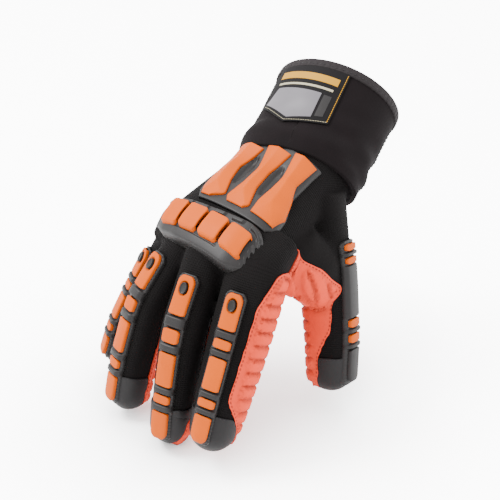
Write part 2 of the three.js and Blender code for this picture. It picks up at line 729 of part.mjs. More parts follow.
function archForm(lift, thickness) {
  return loft(archTable.map((row) => {
    const [near, far] = [row.near * palmLength, row.far * palmLength];
    const [top, foot] = [row.top * palmThickness / 2 + lift, row.foot * palmThickness / 2 + lift];
    const [middle, crown] = [lerp(near, far, archCrown.at), lerp(top, foot, archCrown.drop)];
    const profile = [
      [near, top - archEdge], [near + archEdge, top], [middle, crown + archCrown.rise],
      [far - archEdge, foot], [far, foot - archEdge],
      [far, foot - thickness], [middle, crown - thickness], [near, top - thickness],
    ];
    return profile.map(([x, z]) => place(palm, x, row.across * palmWidth / 2, z));
  }));
}

function knuckleBlock(i) {
  const width = (blockSpan.to - blockSpan.from) * palmWidth / 2 / blockCount;
  const from = blockSpan.from * palmWidth / 2 + i * width + blockGap / 2;
  const to = from + width - blockGap;
  const [near, far] = [blockSpan.near * palmLength, blockSpan.far * palmLength];
  const outline = [
    [near, from + blockCorner], [near, to - blockCorner], [near + blockCorner, to], [far - blockCorner, to],
    [far, to - blockCorner], [far, from + blockCorner], [far - blockCorner, from], [near + blockCorner, from],
  ];
  const over = archForm(clearance + blockHeight, 2 * blockHeight);
  const layer = over.subtract(archForm(clearance, archThickness));
  return mainBody(layer.intersect(prism(palm, outline, -palmThickness, palmThickness)));
}

addPiece('knuckle_guard_plate', blackRubber, mainBody(archForm(0, archThickness).subtract(coverHand)));
for (let i = 0; i < blockCount; i++) addPiece(`knuckle_guard_block_${i + 1}`, orangeRubber, knuckleBlock(i));

// The cuff: a neoprene tube, fitted over the wrist
const tube = cuffForm(0, 0).subtract(cuffForm(-cuffWall, cuffWall));
addPiece('cuff', neoprene, mainBody(tube.subtract(coverHand)));

function cuffBinding() {
  const start = 1 - bindingWidth / cuffLength;
  const over = bindingThickness + clearance;
  return hoop(around(cuffSides).map((a) => {
    const lip = (grow, at, past = 0) => cuffSkin(at, a, grow).addScaledVector(cuffFrame.along, -past);
    return [
      lip(clearance, start), lip(over, start), lip(over, 1, over),
      lip(-cuffWall - over, 1, over), lip(-cuffWall - over, start), lip(-cuffWall - clearance, start),
      lip(-cuffWall - clearance, 1, clearance), lip(clearance, 1, clearance),
    ];
  }));
}

addPiece('cuff_binding', blackTape, cuffBinding());

// The label sewn on the cuff, with a pointed lower edge. Outlines are shares of the cuff's length
// from the wrist, and of half the mouth's width to the thumb's side.
const labelOutline = [[0.9, -0.76], [0.36, -0.76], [0.13, -0.22], [0.25, 0.38], [0.9, 0.4]];
const patchOutline = [[0.6, -0.6], [0.4, -0.7], [0.2, -0.22], [0.27, 0.13], [0.58, 0.13]];
const barOutline = [[0.82, -0.66], [0.73, -0.66], [0.71, 0.3], [0.8, 0.3]];

function onCuff(outline, low, high) {
  const places = outline.map(([at, across]) => [-at * cuffLength, across * mouthWidth / 2]);
  const layer = cuffForm(high, 0).subtract(cuffForm(low, 1));
  return mainBody(layer.intersect(prism(cuffFrame, places, 0, mouthWidth)));
}

const onLabel = 2 * clearance + labelThickness;
addPiece('cuff_label', blackLabel, onCuff(labelOutline, clearance, clearance + labelThickness));
addPiece('label_patch', greyReflective, onCuff(patchOutline, onLabel, onLabel + printThickness));
addPiece('label_bar', yellowPrint, onCuff(barOutline, onLabel, onLabel + printThickness));

export default glove;
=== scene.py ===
# Right-hand impact work glove, kept in the shape of a hand that leans on its fingertips.
# Millimetres inside the shape functions, metres in the meshes.
import json
import math

import bmesh
import bpy
import numpy as np
from mathutils import Matrix, Vector

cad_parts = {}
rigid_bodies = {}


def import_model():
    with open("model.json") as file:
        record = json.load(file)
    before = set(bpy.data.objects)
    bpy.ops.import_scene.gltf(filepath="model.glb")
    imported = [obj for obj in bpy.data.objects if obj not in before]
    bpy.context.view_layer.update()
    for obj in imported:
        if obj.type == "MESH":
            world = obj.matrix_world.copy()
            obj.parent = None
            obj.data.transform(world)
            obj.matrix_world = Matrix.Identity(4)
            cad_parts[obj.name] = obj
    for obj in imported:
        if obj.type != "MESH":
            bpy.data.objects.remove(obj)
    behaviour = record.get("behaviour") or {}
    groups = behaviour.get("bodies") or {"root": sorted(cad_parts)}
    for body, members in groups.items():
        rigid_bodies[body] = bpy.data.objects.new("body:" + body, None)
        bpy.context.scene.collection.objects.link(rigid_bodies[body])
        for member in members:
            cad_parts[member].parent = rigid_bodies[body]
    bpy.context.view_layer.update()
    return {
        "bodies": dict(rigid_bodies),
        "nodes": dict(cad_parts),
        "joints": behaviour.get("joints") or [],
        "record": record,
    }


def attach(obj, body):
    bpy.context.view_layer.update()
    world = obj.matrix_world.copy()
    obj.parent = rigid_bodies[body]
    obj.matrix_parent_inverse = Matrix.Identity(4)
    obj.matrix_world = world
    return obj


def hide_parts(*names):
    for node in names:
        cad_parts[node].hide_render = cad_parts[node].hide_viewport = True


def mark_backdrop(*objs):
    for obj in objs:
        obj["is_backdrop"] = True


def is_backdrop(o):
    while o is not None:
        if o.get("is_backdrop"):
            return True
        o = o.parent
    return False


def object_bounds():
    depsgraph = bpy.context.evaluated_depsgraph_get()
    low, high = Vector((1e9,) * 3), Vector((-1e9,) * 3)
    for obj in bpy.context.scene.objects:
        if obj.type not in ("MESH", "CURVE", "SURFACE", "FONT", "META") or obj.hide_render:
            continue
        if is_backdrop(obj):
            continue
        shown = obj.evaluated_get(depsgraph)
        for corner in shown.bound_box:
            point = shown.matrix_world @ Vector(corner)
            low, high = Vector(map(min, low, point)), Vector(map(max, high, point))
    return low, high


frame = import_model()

bl_info = {
    "name": "Impact work glove",
    "version": (1, 0, 0),
    "blender": (4, 5, 0),
    "location": "View3D > Sidebar > Glove",
    "description": "Builds the looks of an impact work glove around its packed part",
    "category": "Object",
}

# Hand and cuff, in millimetres and degrees
PALM_LENGTH, PALM_WIDTH, PALM_THICKNESS = 84, 88, 34
WRIST_WIDTH, WRIST_THICKNESS = 74, 52
CUFF_LENGTH, MOUTH_WIDTH, MOUTH_THICKNESS, CUFF_WALL = 58, 82, 70, 2.6
PALM_SLOPE, PALM_ROLL, CUFF_RISE, CUFF_SWING = 17, 3, 27, 17
FINGER_POWER, PALM_POWER = 2.5, 2.6
LINE_STEP, JOINT_EASE = 0.5, 10
CAP_START = 0.787  # share of the digit's length
STRIP_HEIGHT, RIDGE_HEIGHT, WIDE_RIDGE_HEIGHT, PAD_HEIGHT = 2.1, 4.6, 4.0, 4.1
RIB_PITCH, RIB_HEIGHT = 2.1, 0.32
KNIT_WALL, PANEL_WALL, PANEL_LIFT, CAP_WALL = 1.6, 1.5, 1.0, 0.9
PAD_PITCH, PAD_RISE = 8.2, 1.5  # of the pads embossed on the coral panel
PLATE_HEIGHT = 2.3
SEARCH_CHUNK, WEB_STEPS = 8000, 40

# A digit's root from the wrist as shares of the palm, its turns there, and its bends
DIGITS = {
    "index": dict(ahead=0.93, across=0.85, above=0, splay=18, droop=0, roll=-13,
                  phalanges=(50, 32, 33), bends=(46, 0, 4), width=35, tip_width=23, depth=28),
    "middle": dict(ahead=0.99, across=0.09, above=0.1, splay=13, droop=0, roll=-7,
                   phalanges=(52, 41, 33), bends=(37, 20, 4), width=27, tip_width=22, depth=27),
    "ring": dict(ahead=0.96, across=-0.39, above=0, splay=-13, droop=0, roll=4,
                 phalanges=(50, 38, 33), bends=(34, 18, 6), width=25, tip_width=21, depth=25),
    "little": dict(ahead=0.93, across=-0.82, above=-0.28, splay=-29, droop=0, roll=5,
                   phalanges=(43, 29, 29), bends=(45, 2, 8), width=22, tip_width=19, depth=22),
    "thumb": dict(ahead=0.21, across=0.66, above=-0.4, splay=32, droop=58, roll=-78,
                  phalanges=(40, 36, 35), bends=(0, 2, 4), width=28, tip_width=21, depth=30),
}
# at, width, back, front
PALM_ROWS = np.array([
    (-0.14, 0.96, 0.96, 0.96), (0.02, 0.94, 0.96, 0.94), (0.22, 0.87, 1.12, 1), (0.5, 0.89, 1.22, 0.96),
    (0.8, 0.96, 1.12, 0.9), (1, 1, 0.98, 0.8), (1.12, 0.92, 0.6, 0.5),
])
# ahead, across, above, long, thick
WEB_ROWS = np.array([
    (0.78, 0.62, -0.15, 22, 12), (0.76, 0.88, -0.5, 22, 12),
    (0.66, 1.0, -0.95, 19, 12), (0.58, 1.0, -1.5, 14, 11),
])
# Height of the coral panel's edge on each digit: at, thumb side, little side
PANEL_EDGES = {
    "index": [(-0.1, 0.1, -0.6), (0.05, 0.8, -0.5), (0.2, 1.3, -0.4), (0.7, 1.35, -0.4),
              (0.8, 0.6, -0.5), (0.88, 0, -0.5), (1.2, -0.4, -0.5)],
    "middle": [(-0.1, -0.5, -0.5), (1.2, -0.4, -0.4)],
    "ring": [(-0.1, -0.5, -0.5), (1.2, -0.4, -0.4)],
    "little": [(-0.1, -0.5, -0.3), (1.2, -0.4, -0.3)],
    "thumb": [(0.15, -0.2, -0.4), (0.33, -0.1, 0.1), (0.48, 0, 0.6), (0.62, 0, 0.5), (0.76, -0.3, -0.1),
              (1.2, -0.4, -0.35)],
}
# start, end, width, pad width, shift to the thumb's side
GUARDS = {
    "index": (0.15, 0.96, 14, 11, -3), "middle": (0.16, 0.96, 14, 11, 0),
    "ring": (0.15, 0.96, 13.2, 10.3, 0), "little": (0.16, 0.96, 11.8, 9.2, 0),
    "thumb": (0.14, 0.96, 16, 12, 0),
}
# name, start, end as shares of the guard
FINGER_PADS = [("knuckle_pad", 0.01, 0.25), ("short_bar_1", 0.31, 0.375), ("long_bar", 0.43, 0.645),
               ("short_bar_2", 0.695, 0.75), ("tip_pad", 0.8, 0.985)]
THUMB_PADS = [("short_bar_1", 0.02, 0.07), ("short_bar_2", 0.11, 0.16), ("short_bar_3", 0.53, 0.59),
              ("short_bar_4", 0.63, 0.69), ("tip_pad", 0.73, 0.97)]


def smooth(x, low, high):
    t = np.clip((x - low) / (high - low), 0, 1)
    return t * t * (3 - 2 * t)


def spun(frame, axis, degrees):
    k, a = frame[axis], math.radians(degrees)
    def turn(v):
        return v * math.cos(a) + np.cross(k, v) * math.sin(a) + k * np.dot(k, v) * (1 - math.cos(a))
    return dict(at=frame["at"], **{name: turn(frame[name]) for name in ("along", "side", "up")})


def place(frame, along, side, up):
    along, side, up = (np.asarray(x, float)[..., None] for x in (along, side, up))
    return frame["at"] + frame["along"] * along + frame["side"] * side + frame["up"] * up


LEVEL = dict(at=np.zeros(3), along=np.array([0, -1.0, 0]), side=np.array([1.0, 0, 0]),
             up=np.array([0, 0, 1.0]))
CUFF_FRAME = spun(spun(LEVEL, "up", CUFF_SWING), "side", CUFF_RISE)
WRIST = -place(CUFF_FRAME, -CUFF_LENGTH, 0, 0)  # the part's origin is the middle of the cuff's mouth
CUFF_FRAME["at"] = WRIST
PALM = dict(spun(spun(LEVEL, "side", PALM_SLOPE), "along", PALM_ROLL), at=WRIST)


def palm_place(ahead, across, above):
    return place(PALM, ahead * PALM_LENGTH, across * PALM_WIDTH / 2, above * PALM_THICKNESS)


def nearest_of(points, line):
    """For each point, the number of the nearest point of a line."""
    found = np.empty(len(points), int)
    for i in range(0, len(points), SEARCH_CHUNK):
        gap = ((points[i:i + SEARCH_CHUNK, None] - line[None]) ** 2).sum(-1)
        found[i:i + SEARCH_CHUNK] = gap.argmin(1)
    return found


def section(angle, w, h, power):
    c, s = np.cos(angle), np.sin(angle)
    return np.sign(s) * np.abs(s) ** (2 / power) * w, np.sign(c) * np.abs(c) ** (2 / power) * h


class Digit:
    """A finger or thumb that bends in one plane, with its middle line summed up in short steps."""

    def __init__(self, row):
        self.__dict__.update(row)
        base = dict(PALM, at=palm_place(self.ahead, self.across, self.above))
        self.root = spun(spun(spun(base, "up", self.splay), "side", self.droop), "along", self.roll)
        self.length = sum(self.phalanges)
        self.joints = (0, self.phalanges[0], self.phalanges[0] + self.phalanges[1])
        self.tip_round = self.tip_width / 2
        mids = np.arange(0, self.length + 2 * JOINT_EASE, LINE_STEP) + LINE_STEP / 2
        turn = self.turn(mids)
        steps = LINE_STEP * np.column_stack([np.cos(turn), -np.sin(turn)])
        self.line = np.vstack([[0, 0], np.cumsum(steps, axis=0)])
        self.marks = np.arange(len(self.line)) * LINE_STEP

    def turn(self, s):
        return sum(math.radians(bend) * smooth(s, joint - JOINT_EASE, joint + JOINT_EASE)
                   for bend, joint in zip(self.bends, self.joints))

    def frame(self, s):
        s = np.asarray(s, float)
        turn, before = self.turn(s), np.minimum(s, 0)
        x = np.interp(s, self.marks, self.line[:, 0]) + before * np.cos(turn)
        z = np.interp(s, self.marks, self.line[:, 1]) - before * np.sin(turn)
        r, c, n = self.root, np.cos(turn)[..., None], np.sin(turn)[..., None]
        return dict(at=place(r, x, 0 * x, z), along=r["along"] * c - r["up"] * n,
                    side=r["side"] + 0 * c, up=r["along"] * n + r["up"] * c)

    def half(self, s, grow=0.0):
        share = np.clip(s / self.length, 0, 1)
        over = np.clip((s - self.length + self.tip_round) / (self.tip_round + grow), 0, 0.999)
        w = (self.width + (self.tip_width - self.width) * share ** 3) / 2
        h = self.depth / 2 * (1 - 0.16 * share * share)
        return (w + grow) * np.sqrt(1 - over ** 2), (h + grow) * np.sqrt(1 - over ** 2)

    def skin(self, s, angle, grow=0.0):
        x, z = section(angle, *self.half(s, grow), FINGER_POWER)
        return place(self.frame(s), 0 * s, x, z)

    def back(self, s, side, lift):
        w, h = self.half(s)
        share = np.clip(np.abs(side) / w, 0, 0.98)
        height = h * (1 - share ** FINGER_POWER) ** (1 / FINGER_POWER)
        return place(self.frame(s), 0 * s, side, height + lift)

    def local(self, points):
        """Arc length, side and height of points by the nearest place on the middle line."""
        marks = np.arange(-6, self.length + 6, 1.0)
        s = marks[nearest_of(points, self.frame(marks)["at"])]
        for _ in range(2):
            g = self.frame(s)
            s = np.clip(s + ((points - g["at"]) * g["along"]).sum(-1), -8, self.length + 8)
        g = self.frame(s)
        return s, ((points - g["at"]) * g["side"]).sum(-1), ((points - g["at"]) * g["up"]).sum(-1)


HAND = {name: Digit(row) for name, row in DIGITS.items()}


def palm_sizes(at):
    """Half width, back and front heights of the palm, eased between the table's rows."""
    at = np.asarray(at, float)
    total = 0
    for shift in (-0.07, -0.035, 0, 0.035, 0.07):
        x = at + shift * np.clip((1.12 - at) / 0.1, 0, 1)
        blend = smooth(x, 0, 0.4)
        thick = (WRIST_THICKNESS + (PALM_THICKNESS - WRIST_THICKNESS) * blend) / 2
        wide = (WRIST_WIDTH + (PALM_WIDTH - WRIST_WIDTH) * blend) / 2
        row = [np.interp(x, PALM_ROWS[:, 0], PALM_ROWS[:, k]) for k in (1, 2, 3)]
        total = total + np.array([wide * row[0], thick * row[1], thick * row[2]])
    return total / 5


def palm_back(ahead, across, lift):
    w, back, _ = palm_sizes(ahead / PALM_LENGTH)
    share = np.clip(np.abs(across) / w, 0, 0.98)
    return place(PALM, ahead, across, back * (1 - share ** PALM_POWER) ** (1 / PALM_POWER) + lift)


def web_line(count):
    """Places and sizes along the web between index finger and thumb."""
    t = np.linspace(0, len(WEB_ROWS) - 1, count)
    rows = np.array([np.interp(t, range(len(WEB_ROWS)), WEB_ROWS[:, k]) for k in range(5)]).T
    at = palm_place(rows[:, 0], rows[:, 1], rows[:, 2])
    tangent = np.gradient(at, axis=0)
    tangent /= np.linalg.norm(tangent, axis=1)[:, None]
    ahead = PALM["along"] - tangent * (tangent @ PALM["along"])[:, None]
    ahead /= np.linalg.norm(ahead, axis=1)[:, None]
    return at, ahead, np.cross(tangent, ahead), rows[:, 3], rows[:, 4]


# Mesh helpers

def new_object(name, bm, material, round_faces=True):
    mesh = bpy.data.meshes.new(name)
    bm.to_mesh(mesh)
    bm.free()
    for face in mesh.polygons:
        face.use_smooth = round_faces
    obj = bpy.data.objects.new(name.replace(" ", "_"), mesh)
    bpy.context.scene.collection.objects.link(obj)
    if material:
        mesh.materials.append(material)
    return obj


def laid_grid(bm, nu, nv, point, closed=False):
    """A grid of faces laid on point(u, v), with u and v from 0 to 1. Its own UV map holds u and v."""
    made = bmesh.ops.create_grid(bm, x_segments=nu, y_segments=nv, size=0.5)["verts"]
    flat = np.array([v.co[:2] for v in made])
    flat = (flat - flat.min(0)) / (flat.max(0) - flat.min(0))
    uv = bm.loops.layers.uv.verify()
    for v, p, q in zip(made, point(flat[:, 0], flat[:, 1]) * 0.001, flat):
        v.co = p
        for loop in v.link_loops:
            loop[uv].uv = q
    if closed:
        bmesh.ops.remove_doubles(bm, verts=made, dist=2e-6)


def closed_up(bm):
    bmesh.ops.holes_fill(bm, edges=[e for e in bm.edges if e.is_boundary], sides=0)
    bmesh.ops.recalc_face_normals(bm, faces=bm.faces)
    return bm


def relief(point, span, edges, height, low, nu, nv):
    """A raised closed piece on a surface: span runs along it, edges(s) are its two sides there and
    height(s, t, q) is its top, with t from 0 to 1 along and q from -1 to 1 across."""
    part = bmesh.new()
    wall = 1.5 / nv

    def ring(u, v):
        t = (1 - np.cos(np.pi * u)) / 2
        s = span[0] + (span[1] - span[0]) * t
        across = np.clip((v - wall) / (1 - 2 * wall), 0, 1)
        q = np.sin((across - 0.5) * np.pi)
        left, right = edges(s)
        side = left + (right - left) * (q + 1) / 2
        top = height(s, t, q)
        up = np.clip(np.minimum(v, 1 - v) / wall, 0, 1)
        return point(s, side, low + (top - low) * up)

    laid_grid(part, nu, nv, ring)
    return closed_up(part)


def quarter(d, radius):
    """A quarter circle's height as a share of its radius, at distance d from its foot."""
    near = 1 - np.clip(d / radius, 0, 1)
    return np.sqrt(np.clip(1 - near ** 2, 0, 1))


def from_rim(s, span, q, width):
    """How far a place on a relief piece is from its nearest edge."""
    return np.minimum(np.minimum(s - span[0], span[1] - s), (1 - np.abs(q)) * width / 2)


def rounded(d, radius):
    """Drop of a rounded rim at distance d from the edge."""
    return radius * (1 - quarter(d, radius))


def spread(neighbours, values, rounds):
    """Values eased over a mesh's edges."""
    a, b = neighbours
    count = np.bincount(a, minlength=len(values)) + np.bincount(b, minlength=len(values))
    for _ in range(rounds):
        cols = []
        for k in range(values.shape[1]):
            c = values[:, k]
            cols.append(np.bincount(a, c[b], len(c)) + np.bincount(b, c[a], len(c)))
        values = 0.5 * values + 0.5 * np.array(cols).T / np.maximum(count, 1)[:, None]
    return values


def read(items, key, width, kind=float):
    values = np.empty(len(items) * width, kind)
    items.foreach_get(key, values)
    return values.reshape(-1, width)


# Materials

def linear(code):
    rgb = [int(code[i:i + 2], 16) / 255 for i in (1, 3, 5)]
    return tuple(c / 12.92 if c <= 0.04045 else ((c + 0.055) / 1.055) ** 2.4 for c in rgb) + (1,)


def add_node(tree, kind, links=(), **values):
    """A node with its settings or constant inputs, and its links from other nodes' outputs."""
    node = tree.nodes.new(kind)
    for key, value in values.items():
        if hasattr(node, key):
            setattr(node, key, value)
        else:
            node.inputs[key].default_value = value
    for socket, source in links:
        tree.links.new(source, node.inputs[socket])
    return node


def math_node(tree, operation, *inputs):
    """The output of a maths node on sockets or numbers."""
    node = add_node(tree, "ShaderNodeMath", operation=operation)
    for socket, value in zip(node.inputs, inputs):
        if isinstance(value, bpy.types.NodeSocket):
            tree.links.new(value, socket)
        else:
            socket.default_value = value
    return node.outputs[0]


def base_material(name, code, roughness, spotted=0.0, grain=0.0006):
    """A surface whose colour varies a little over patches of a centimetre, and its fine noise."""
    material = bpy.data.materials.new(name)
    material.use_nodes = True
    tree = material.node_tree
    shader = tree.nodes["Principled BSDF"]
    where = add_node(tree, "ShaderNodeTexCoord")
    place_in = [("Vector", where.outputs["Object"])]
    cloud = add_node(tree, "ShaderNodeTexNoise", place_in, Scale=90.0, Detail=3.0)
    ramp = add_node(tree, "ShaderNodeValToRGB", [("Fac", cloud.outputs["Fac"])])
    for stop, position, share in zip(ramp.color_ramp.elements, (0.3, 0.7), (1 - spotted, 1 + spotted)):
        stop.position = position
        stop.color = (*(c * share for c in linear(code)[:3]), 1)
    tree.links.new(ramp.outputs["Color"], shader.inputs["Base Color"])
    shader.inputs["Roughness"].default_value = roughness
    fine = add_node(tree, "ShaderNodeTexNoise", place_in, Scale=0.6 / grain, Detail=2.0)
    return material, tree, shader, fine


def bumped(tree, shader, height, strength, distance):
    bump = add_node(tree, "ShaderNodeBump", [("Height", height)], Strength=strength, Distance=distance)
    tree.links.new(bump.outputs["Normal"], shader.inputs["Normal"])


def grained(name, code, roughness, spotted, grain, strength, gloss=0.2, painted_shade_reach=0.0):
    """A grained surface; when given a reach, shade is painted into its colour in recesses narrower than that
    distance.
    """
    material, tree, shader, fine = base_material(name, code, roughness, spotted, grain)
    # painted shade: ambient occlusion, applied twice, darkens the base colour in recesses
    if painted_shade_reach:
        color = shader.inputs["Base Color"].links[0].from_socket
        for _ in range(2):
            painted_shade = add_node(tree, "ShaderNodeAmbientOcclusion", [("Color", color)], Distance=painted_shade_reach)
            color = painted_shade.outputs["Color"]
        tree.links.new(color, shader.inputs["Base Color"])
    shader.inputs["Specular IOR Level"].default_value = gloss
    bumped(tree, shader, fine.outputs["Fac"], strength, grain / 3)
    return material


def knit_material(name, code, pitch):
    """Ribs that run across the finger, from the mesh's own measure along it, broken up by stitches."""
    material, tree, shader, fine = base_material(name, code, 0.86, 0.12, 0.0007)
    shader.inputs["Specular IOR Level"].default_value = 0.08
    along, across, back = (add_node(tree, "ShaderNodeAttribute", attribute_name=key).outputs["Fac"]
                           for key in ("along", "across", "back"))
    ribs, stitches = (math_node(tree, "SINE", math_node(tree, "MULTIPLY", source, 2 * math.pi / step))
                      for source, step in ((along, pitch), (across, pitch * 0.8)))
    both = math_node(tree, "ADD", ribs, math_node(tree, "MULTIPLY", stitches, 0.35))
    whole = math_node(tree, "ADD", math_node(tree, "MULTIPLY", both, back), fine.outputs["Fac"])
    bumped(tree, shader, whole, 0.55, 0.00028)
    return material


def make_materials():
    return {
        # ribbed knit: matt, with fine ribs across that catch the light
        "knit": knit_material("black knit", "#090707", 0.00135),
        # neoprene: dull warm black with a fine cloth grain
        "neoprene": grained("black neoprene", "#0d090a", 0.8, 0.1, 0.0006, 0.35, gloss=0.06),
        # bound edge: woven tape, a little lighter
        "tape": grained("black tape", "#191516", 0.75, 0.1, 0.0004, 0.5, gloss=0.15),
        # coral synthetic leather: soft grain, dull, with painted shade in its recesses
        "coral": grained("coral leather", "#c23a22", 0.62, 0.06, 0.0009, 0.4, gloss=0.08, painted_shade_reach=0.005),
        # black synthetic leather of the caps: smooth with a soft shine
        "leather": grained("black leather", "#100e0f", 0.55, 0.08, 0.0006, 0.25, gloss=0.2),
        # orange moulded rubber: satin, clear edges
        "orange": grained("orange rubber", "#a84500", 0.5, 0.03, 0.0012, 0.06, gloss=0.06),
        # black moulded rubber: dark grey satin
        "rubber": grained("black rubber", "#161414", 0.5, 0.05, 0.001, 0.12, gloss=0.22),
        # label cloth, its print and the reflective patch
        "label": grained("black label cloth", "#0a0809", 0.7, 0.08, 0.0004, 0.3, gloss=0.1),
        "patch": grained("grey reflective film", "#575458", 0.4, 0.03, 0.0004, 0.08),
        "yellow": grained("yellow print", "#956a00", 0.5, 0.03, 0.0005, 0.15),
        "white": grained("pale thread", "#8d8670", 0.6, 0.03, 0.0004, 0.2),
        "coral thread": grained("dark coral thread", "#7c2415", 0.7, 0.05, 0.0004, 0.2),
        "black thread": grained("black thread", "#242124", 0.6, 0.05, 0.0004, 0.2),
    }


# The hand in one surface

def loft(bm, rings):
    """A closed skin through rings of points, capped at its ends."""
    rings = np.array(rings)
    last_u, last_v = rings.shape[0] - 1, rings.shape[1]
    rows = np.concatenate([rings, rings[:, :1]], axis=1)

    def point(u, v):
        return rows[np.rint(u * last_u).astype(int), np.rint(v * last_v).astype(int)]

    part = bmesh.new()
    laid_grid(part, last_u, last_v, point, closed=True)
    mesh = bpy.data.meshes.new("part")
    closed_up(part).to_mesh(mesh)
    part.free()
    bm.from_mesh(mesh)
    bpy.data.meshes.remove(mesh)


def hand_surface(voxel):
    """Palm, web and digits as one evened-out surface, so that the crotches run together softly."""
    bm = bmesh.new()
    turns = np.linspace(0, 2 * np.pi, 49)[:-1]
    rings = []
    for at in np.linspace(-0.14, 1.12, 40):
        w, back, front = palm_sizes(at)
        x, z = section(turns, w, np.where(np.cos(turns) > 0, back, front), PALM_POWER)
        rings.append(place(PALM, at * PALM_LENGTH + 0 * x, x, z))
    loft(bm, rings)
    rings = []
    for at, ahead, out, long, thick in zip(*web_line(14)):
        u, v = section(turns, long, thick, 2)
        rings.append(at + (u - long / 2)[:, None] * ahead + v[:, None] * out)
    loft(bm, rings)
    for digit in HAND.values():
        dome = digit.length - digit.tip_round
        over = dome + digit.tip_round * np.sin(np.linspace(0, 1.48, 12))
        marks = np.concatenate([np.linspace(-digit.width / 2, dome, 70)[:-1], over])
        loft(bm, [digit.skin(np.full(len(turns), s), turns) for s in marks])
    form = new_object("hand form", bm, None)
    remesh = form.modifiers.new("even", "REMESH")
    remesh.mode = "VOXEL"
    remesh.voxel_size = voxel
    ease = form.modifiers.new("ease", "SMOOTH")
    ease.factor, ease.iterations = 0.5, 6
    shown = form.evaluated_get(bpy.context.evaluated_depsgraph_get())
    made = bpy.data.meshes.new_from_object(shown)
    old = form.data
    bpy.data.objects.remove(form)
    bpy.data.meshes.remove(old)
    return made


def hand_measures(mesh):
    """For each vertex: which digit it is on, its place there, and how far it is inside the coral panel."""
    mm = read(mesh.vertices, "co", 3) * 1000
    neighbours = read(mesh.edges, "vertices", 2, int).T
    owner = np.full(len(mm), -1)
    nearest = np.full(len(mm), 1.16)
    along = (mm - WRIST) @ PALM["along"]
    across = (mm - WRIST) @ PALM["side"]
    up = (mm - WRIST) @ PALM["up"]
    palm_along = along.copy()
    ends = PALM_ROWS[-1, 0] * PALM_LENGTH
    on_palm = np.minimum(np.minimum(-4 - up, along - 4.2), 6.2 + (along - 4.2) * 0.283 - across)
    panel = on_palm * (along < ends) - (along > ends)
    back = smooth(up, -2, 3)
    for k, (name, digit) in enumerate(HAND.items()):
        s, x, z = digit.local(mm)
        hw, hh = digit.half(s)
        out = (np.abs(x) / hw) ** FINGER_POWER + (np.abs(z) / hh) ** FINGER_POWER
        out = out ** (1 / FINGER_POWER)
        out = np.where(s > digit.length - digit.tip_round, 0.9, out)
        apart = np.linalg.norm(mm - digit.frame(s)["at"], axis=1) < digit.width * 0.85
        mine = (out < nearest) & (s > 1) & apart
        nearest[mine], owner[mine] = out[mine], k
        rows = np.array(PANEL_EDGES[name])
        reach = digit.width / 2 + 3
        little, thumb = (np.interp(s / digit.length, rows[:, 0], rows[:, c]) * digit.depth / 2
                         for c in (2, 1))
        edge = little + (thumb - little) * np.clip((x + reach) / (2 * reach), 0, 1)
        inside = np.minimum(edge - z, s - rows[0, 0] * digit.length)
        panel[mine] = inside[mine]
        along[mine] = (s + digit.ahead * PALM_LENGTH)[mine]
        across[mine] = (x + digit.across * PALM_WIDTH / 2)[mine]
        seen = smooth(z / hh, -0.3, 0.2) if name == "thumb" else smooth(np.abs(x) / hw, 0.93, 0.72)
        cap = CAP_START * digit.length
        back[mine] = (seen * (1 - smooth(s, cap - 1, cap)))[mine]
    at, ahead, out, long, thick = web_line(WEB_STEPS)
    near = nearest_of(mm, at)
    u = ((mm - at[near]) * ahead[near]).sum(1)
    v = ((mm - at[near]) * out[near]).sum(1)
    on_web = np.maximum(u - (long[near] / 2 - 19), v - 0.5 * thick[near])
    on_web = np.minimum(on_web, np.minimum(near, WEB_STEPS - 1 - near) * 1.2 - 1)
    on_web = np.minimum(on_web, np.minimum(1.4 * thick[near] - np.abs(v), long[near] - np.abs(u)))
    panel = np.where(on_web > panel, on_web, panel)
    eased = spread(neighbours, np.column_stack([panel, along, across, back]), 5)
    return dict(mm=mm, owner=owner, panel=eased[:, 0], along=eased[:, 1], across=eased[:, 2],
                back=eased[:, 3], palm_along=palm_along)


FLATTEST = 1000.0  # least slope that is followed, squared: millimetres inside a patch per metre
LONGEST_MOVE = 0.0016


def patch(mesh, inside, lift, name, material, thickness):
    """The part of the surface where inside is above 0, with its rim drawn onto the line at 0, and
    raised by lift, which is one value or one for each vertex."""
    lift = np.broadcast_to(lift, len(inside))
    bm = bmesh.new()
    bm.from_mesh(mesh)
    at = {v: v.index for v in bm.verts}
    normals = read(mesh.vertex_normals, "vector", 3)
    gone = [f for f in bm.faces if sum(inside[at[v]] > 0 for v in f.verts) < 2]
    bmesh.ops.delete(bm, geom=gone, context="FACES")
    moves = {}
    for v in bm.verts:
        if not v.is_boundary:
            continue
        grad, base = Vector(), inside[at[v]]
        total = 0.0
        for e in v.link_edges:
            w = e.other_vert(v)
            d = w.co - v.co
            grad += d * (inside[at[w]] - base)
            total += d.length_squared
        if total and grad.length > 1e-9:
            slope = grad / total * 1.6
            moves[v] = -slope * max(min(base, 1.5), -1.5) / max(slope.length_squared, FLATTEST)
    for v, d in moves.items():
        if d.length < LONGEST_MOVE:
            v.co += d
    for _ in range(3):
        eased = {}
        for v in bm.verts:
            rim = [e.other_vert(v).co for e in v.link_edges if e.is_boundary]
            if len(rim) == 2:
                eased[v] = sum(rim, Vector()) / 2
        for v, c in eased.items():
            v.co = v.co * 0.4 + c * 0.6
    for v in bm.verts:
        v.co += Vector(normals[at[v]]) * (float(lift[at[v]]) * 0.001)
    obj = new_object(name, bm, material)
    thick = obj.modifiers.new("thickness", "SOLIDIFY")
    thick.thickness, thick.offset = thickness * 0.001, -1
    rim = obj.modifiers.new("rim", "BEVEL")
    rim.width, rim.segments = thickness * 0.0003, 2
    rim.limit_method, rim.angle_limit = "ANGLE", math.radians(50)
    return obj


def give_measures(obj, source, keys):
    """Measures of the source mesh as point attributes, for the materials."""
    for key in keys:
        layer = obj.data.attributes.new(key, "FLOAT", "POINT")
        layer.data.foreach_set("value", np.asarray(source[key], float) * (0.001 if key != "back" else 1))


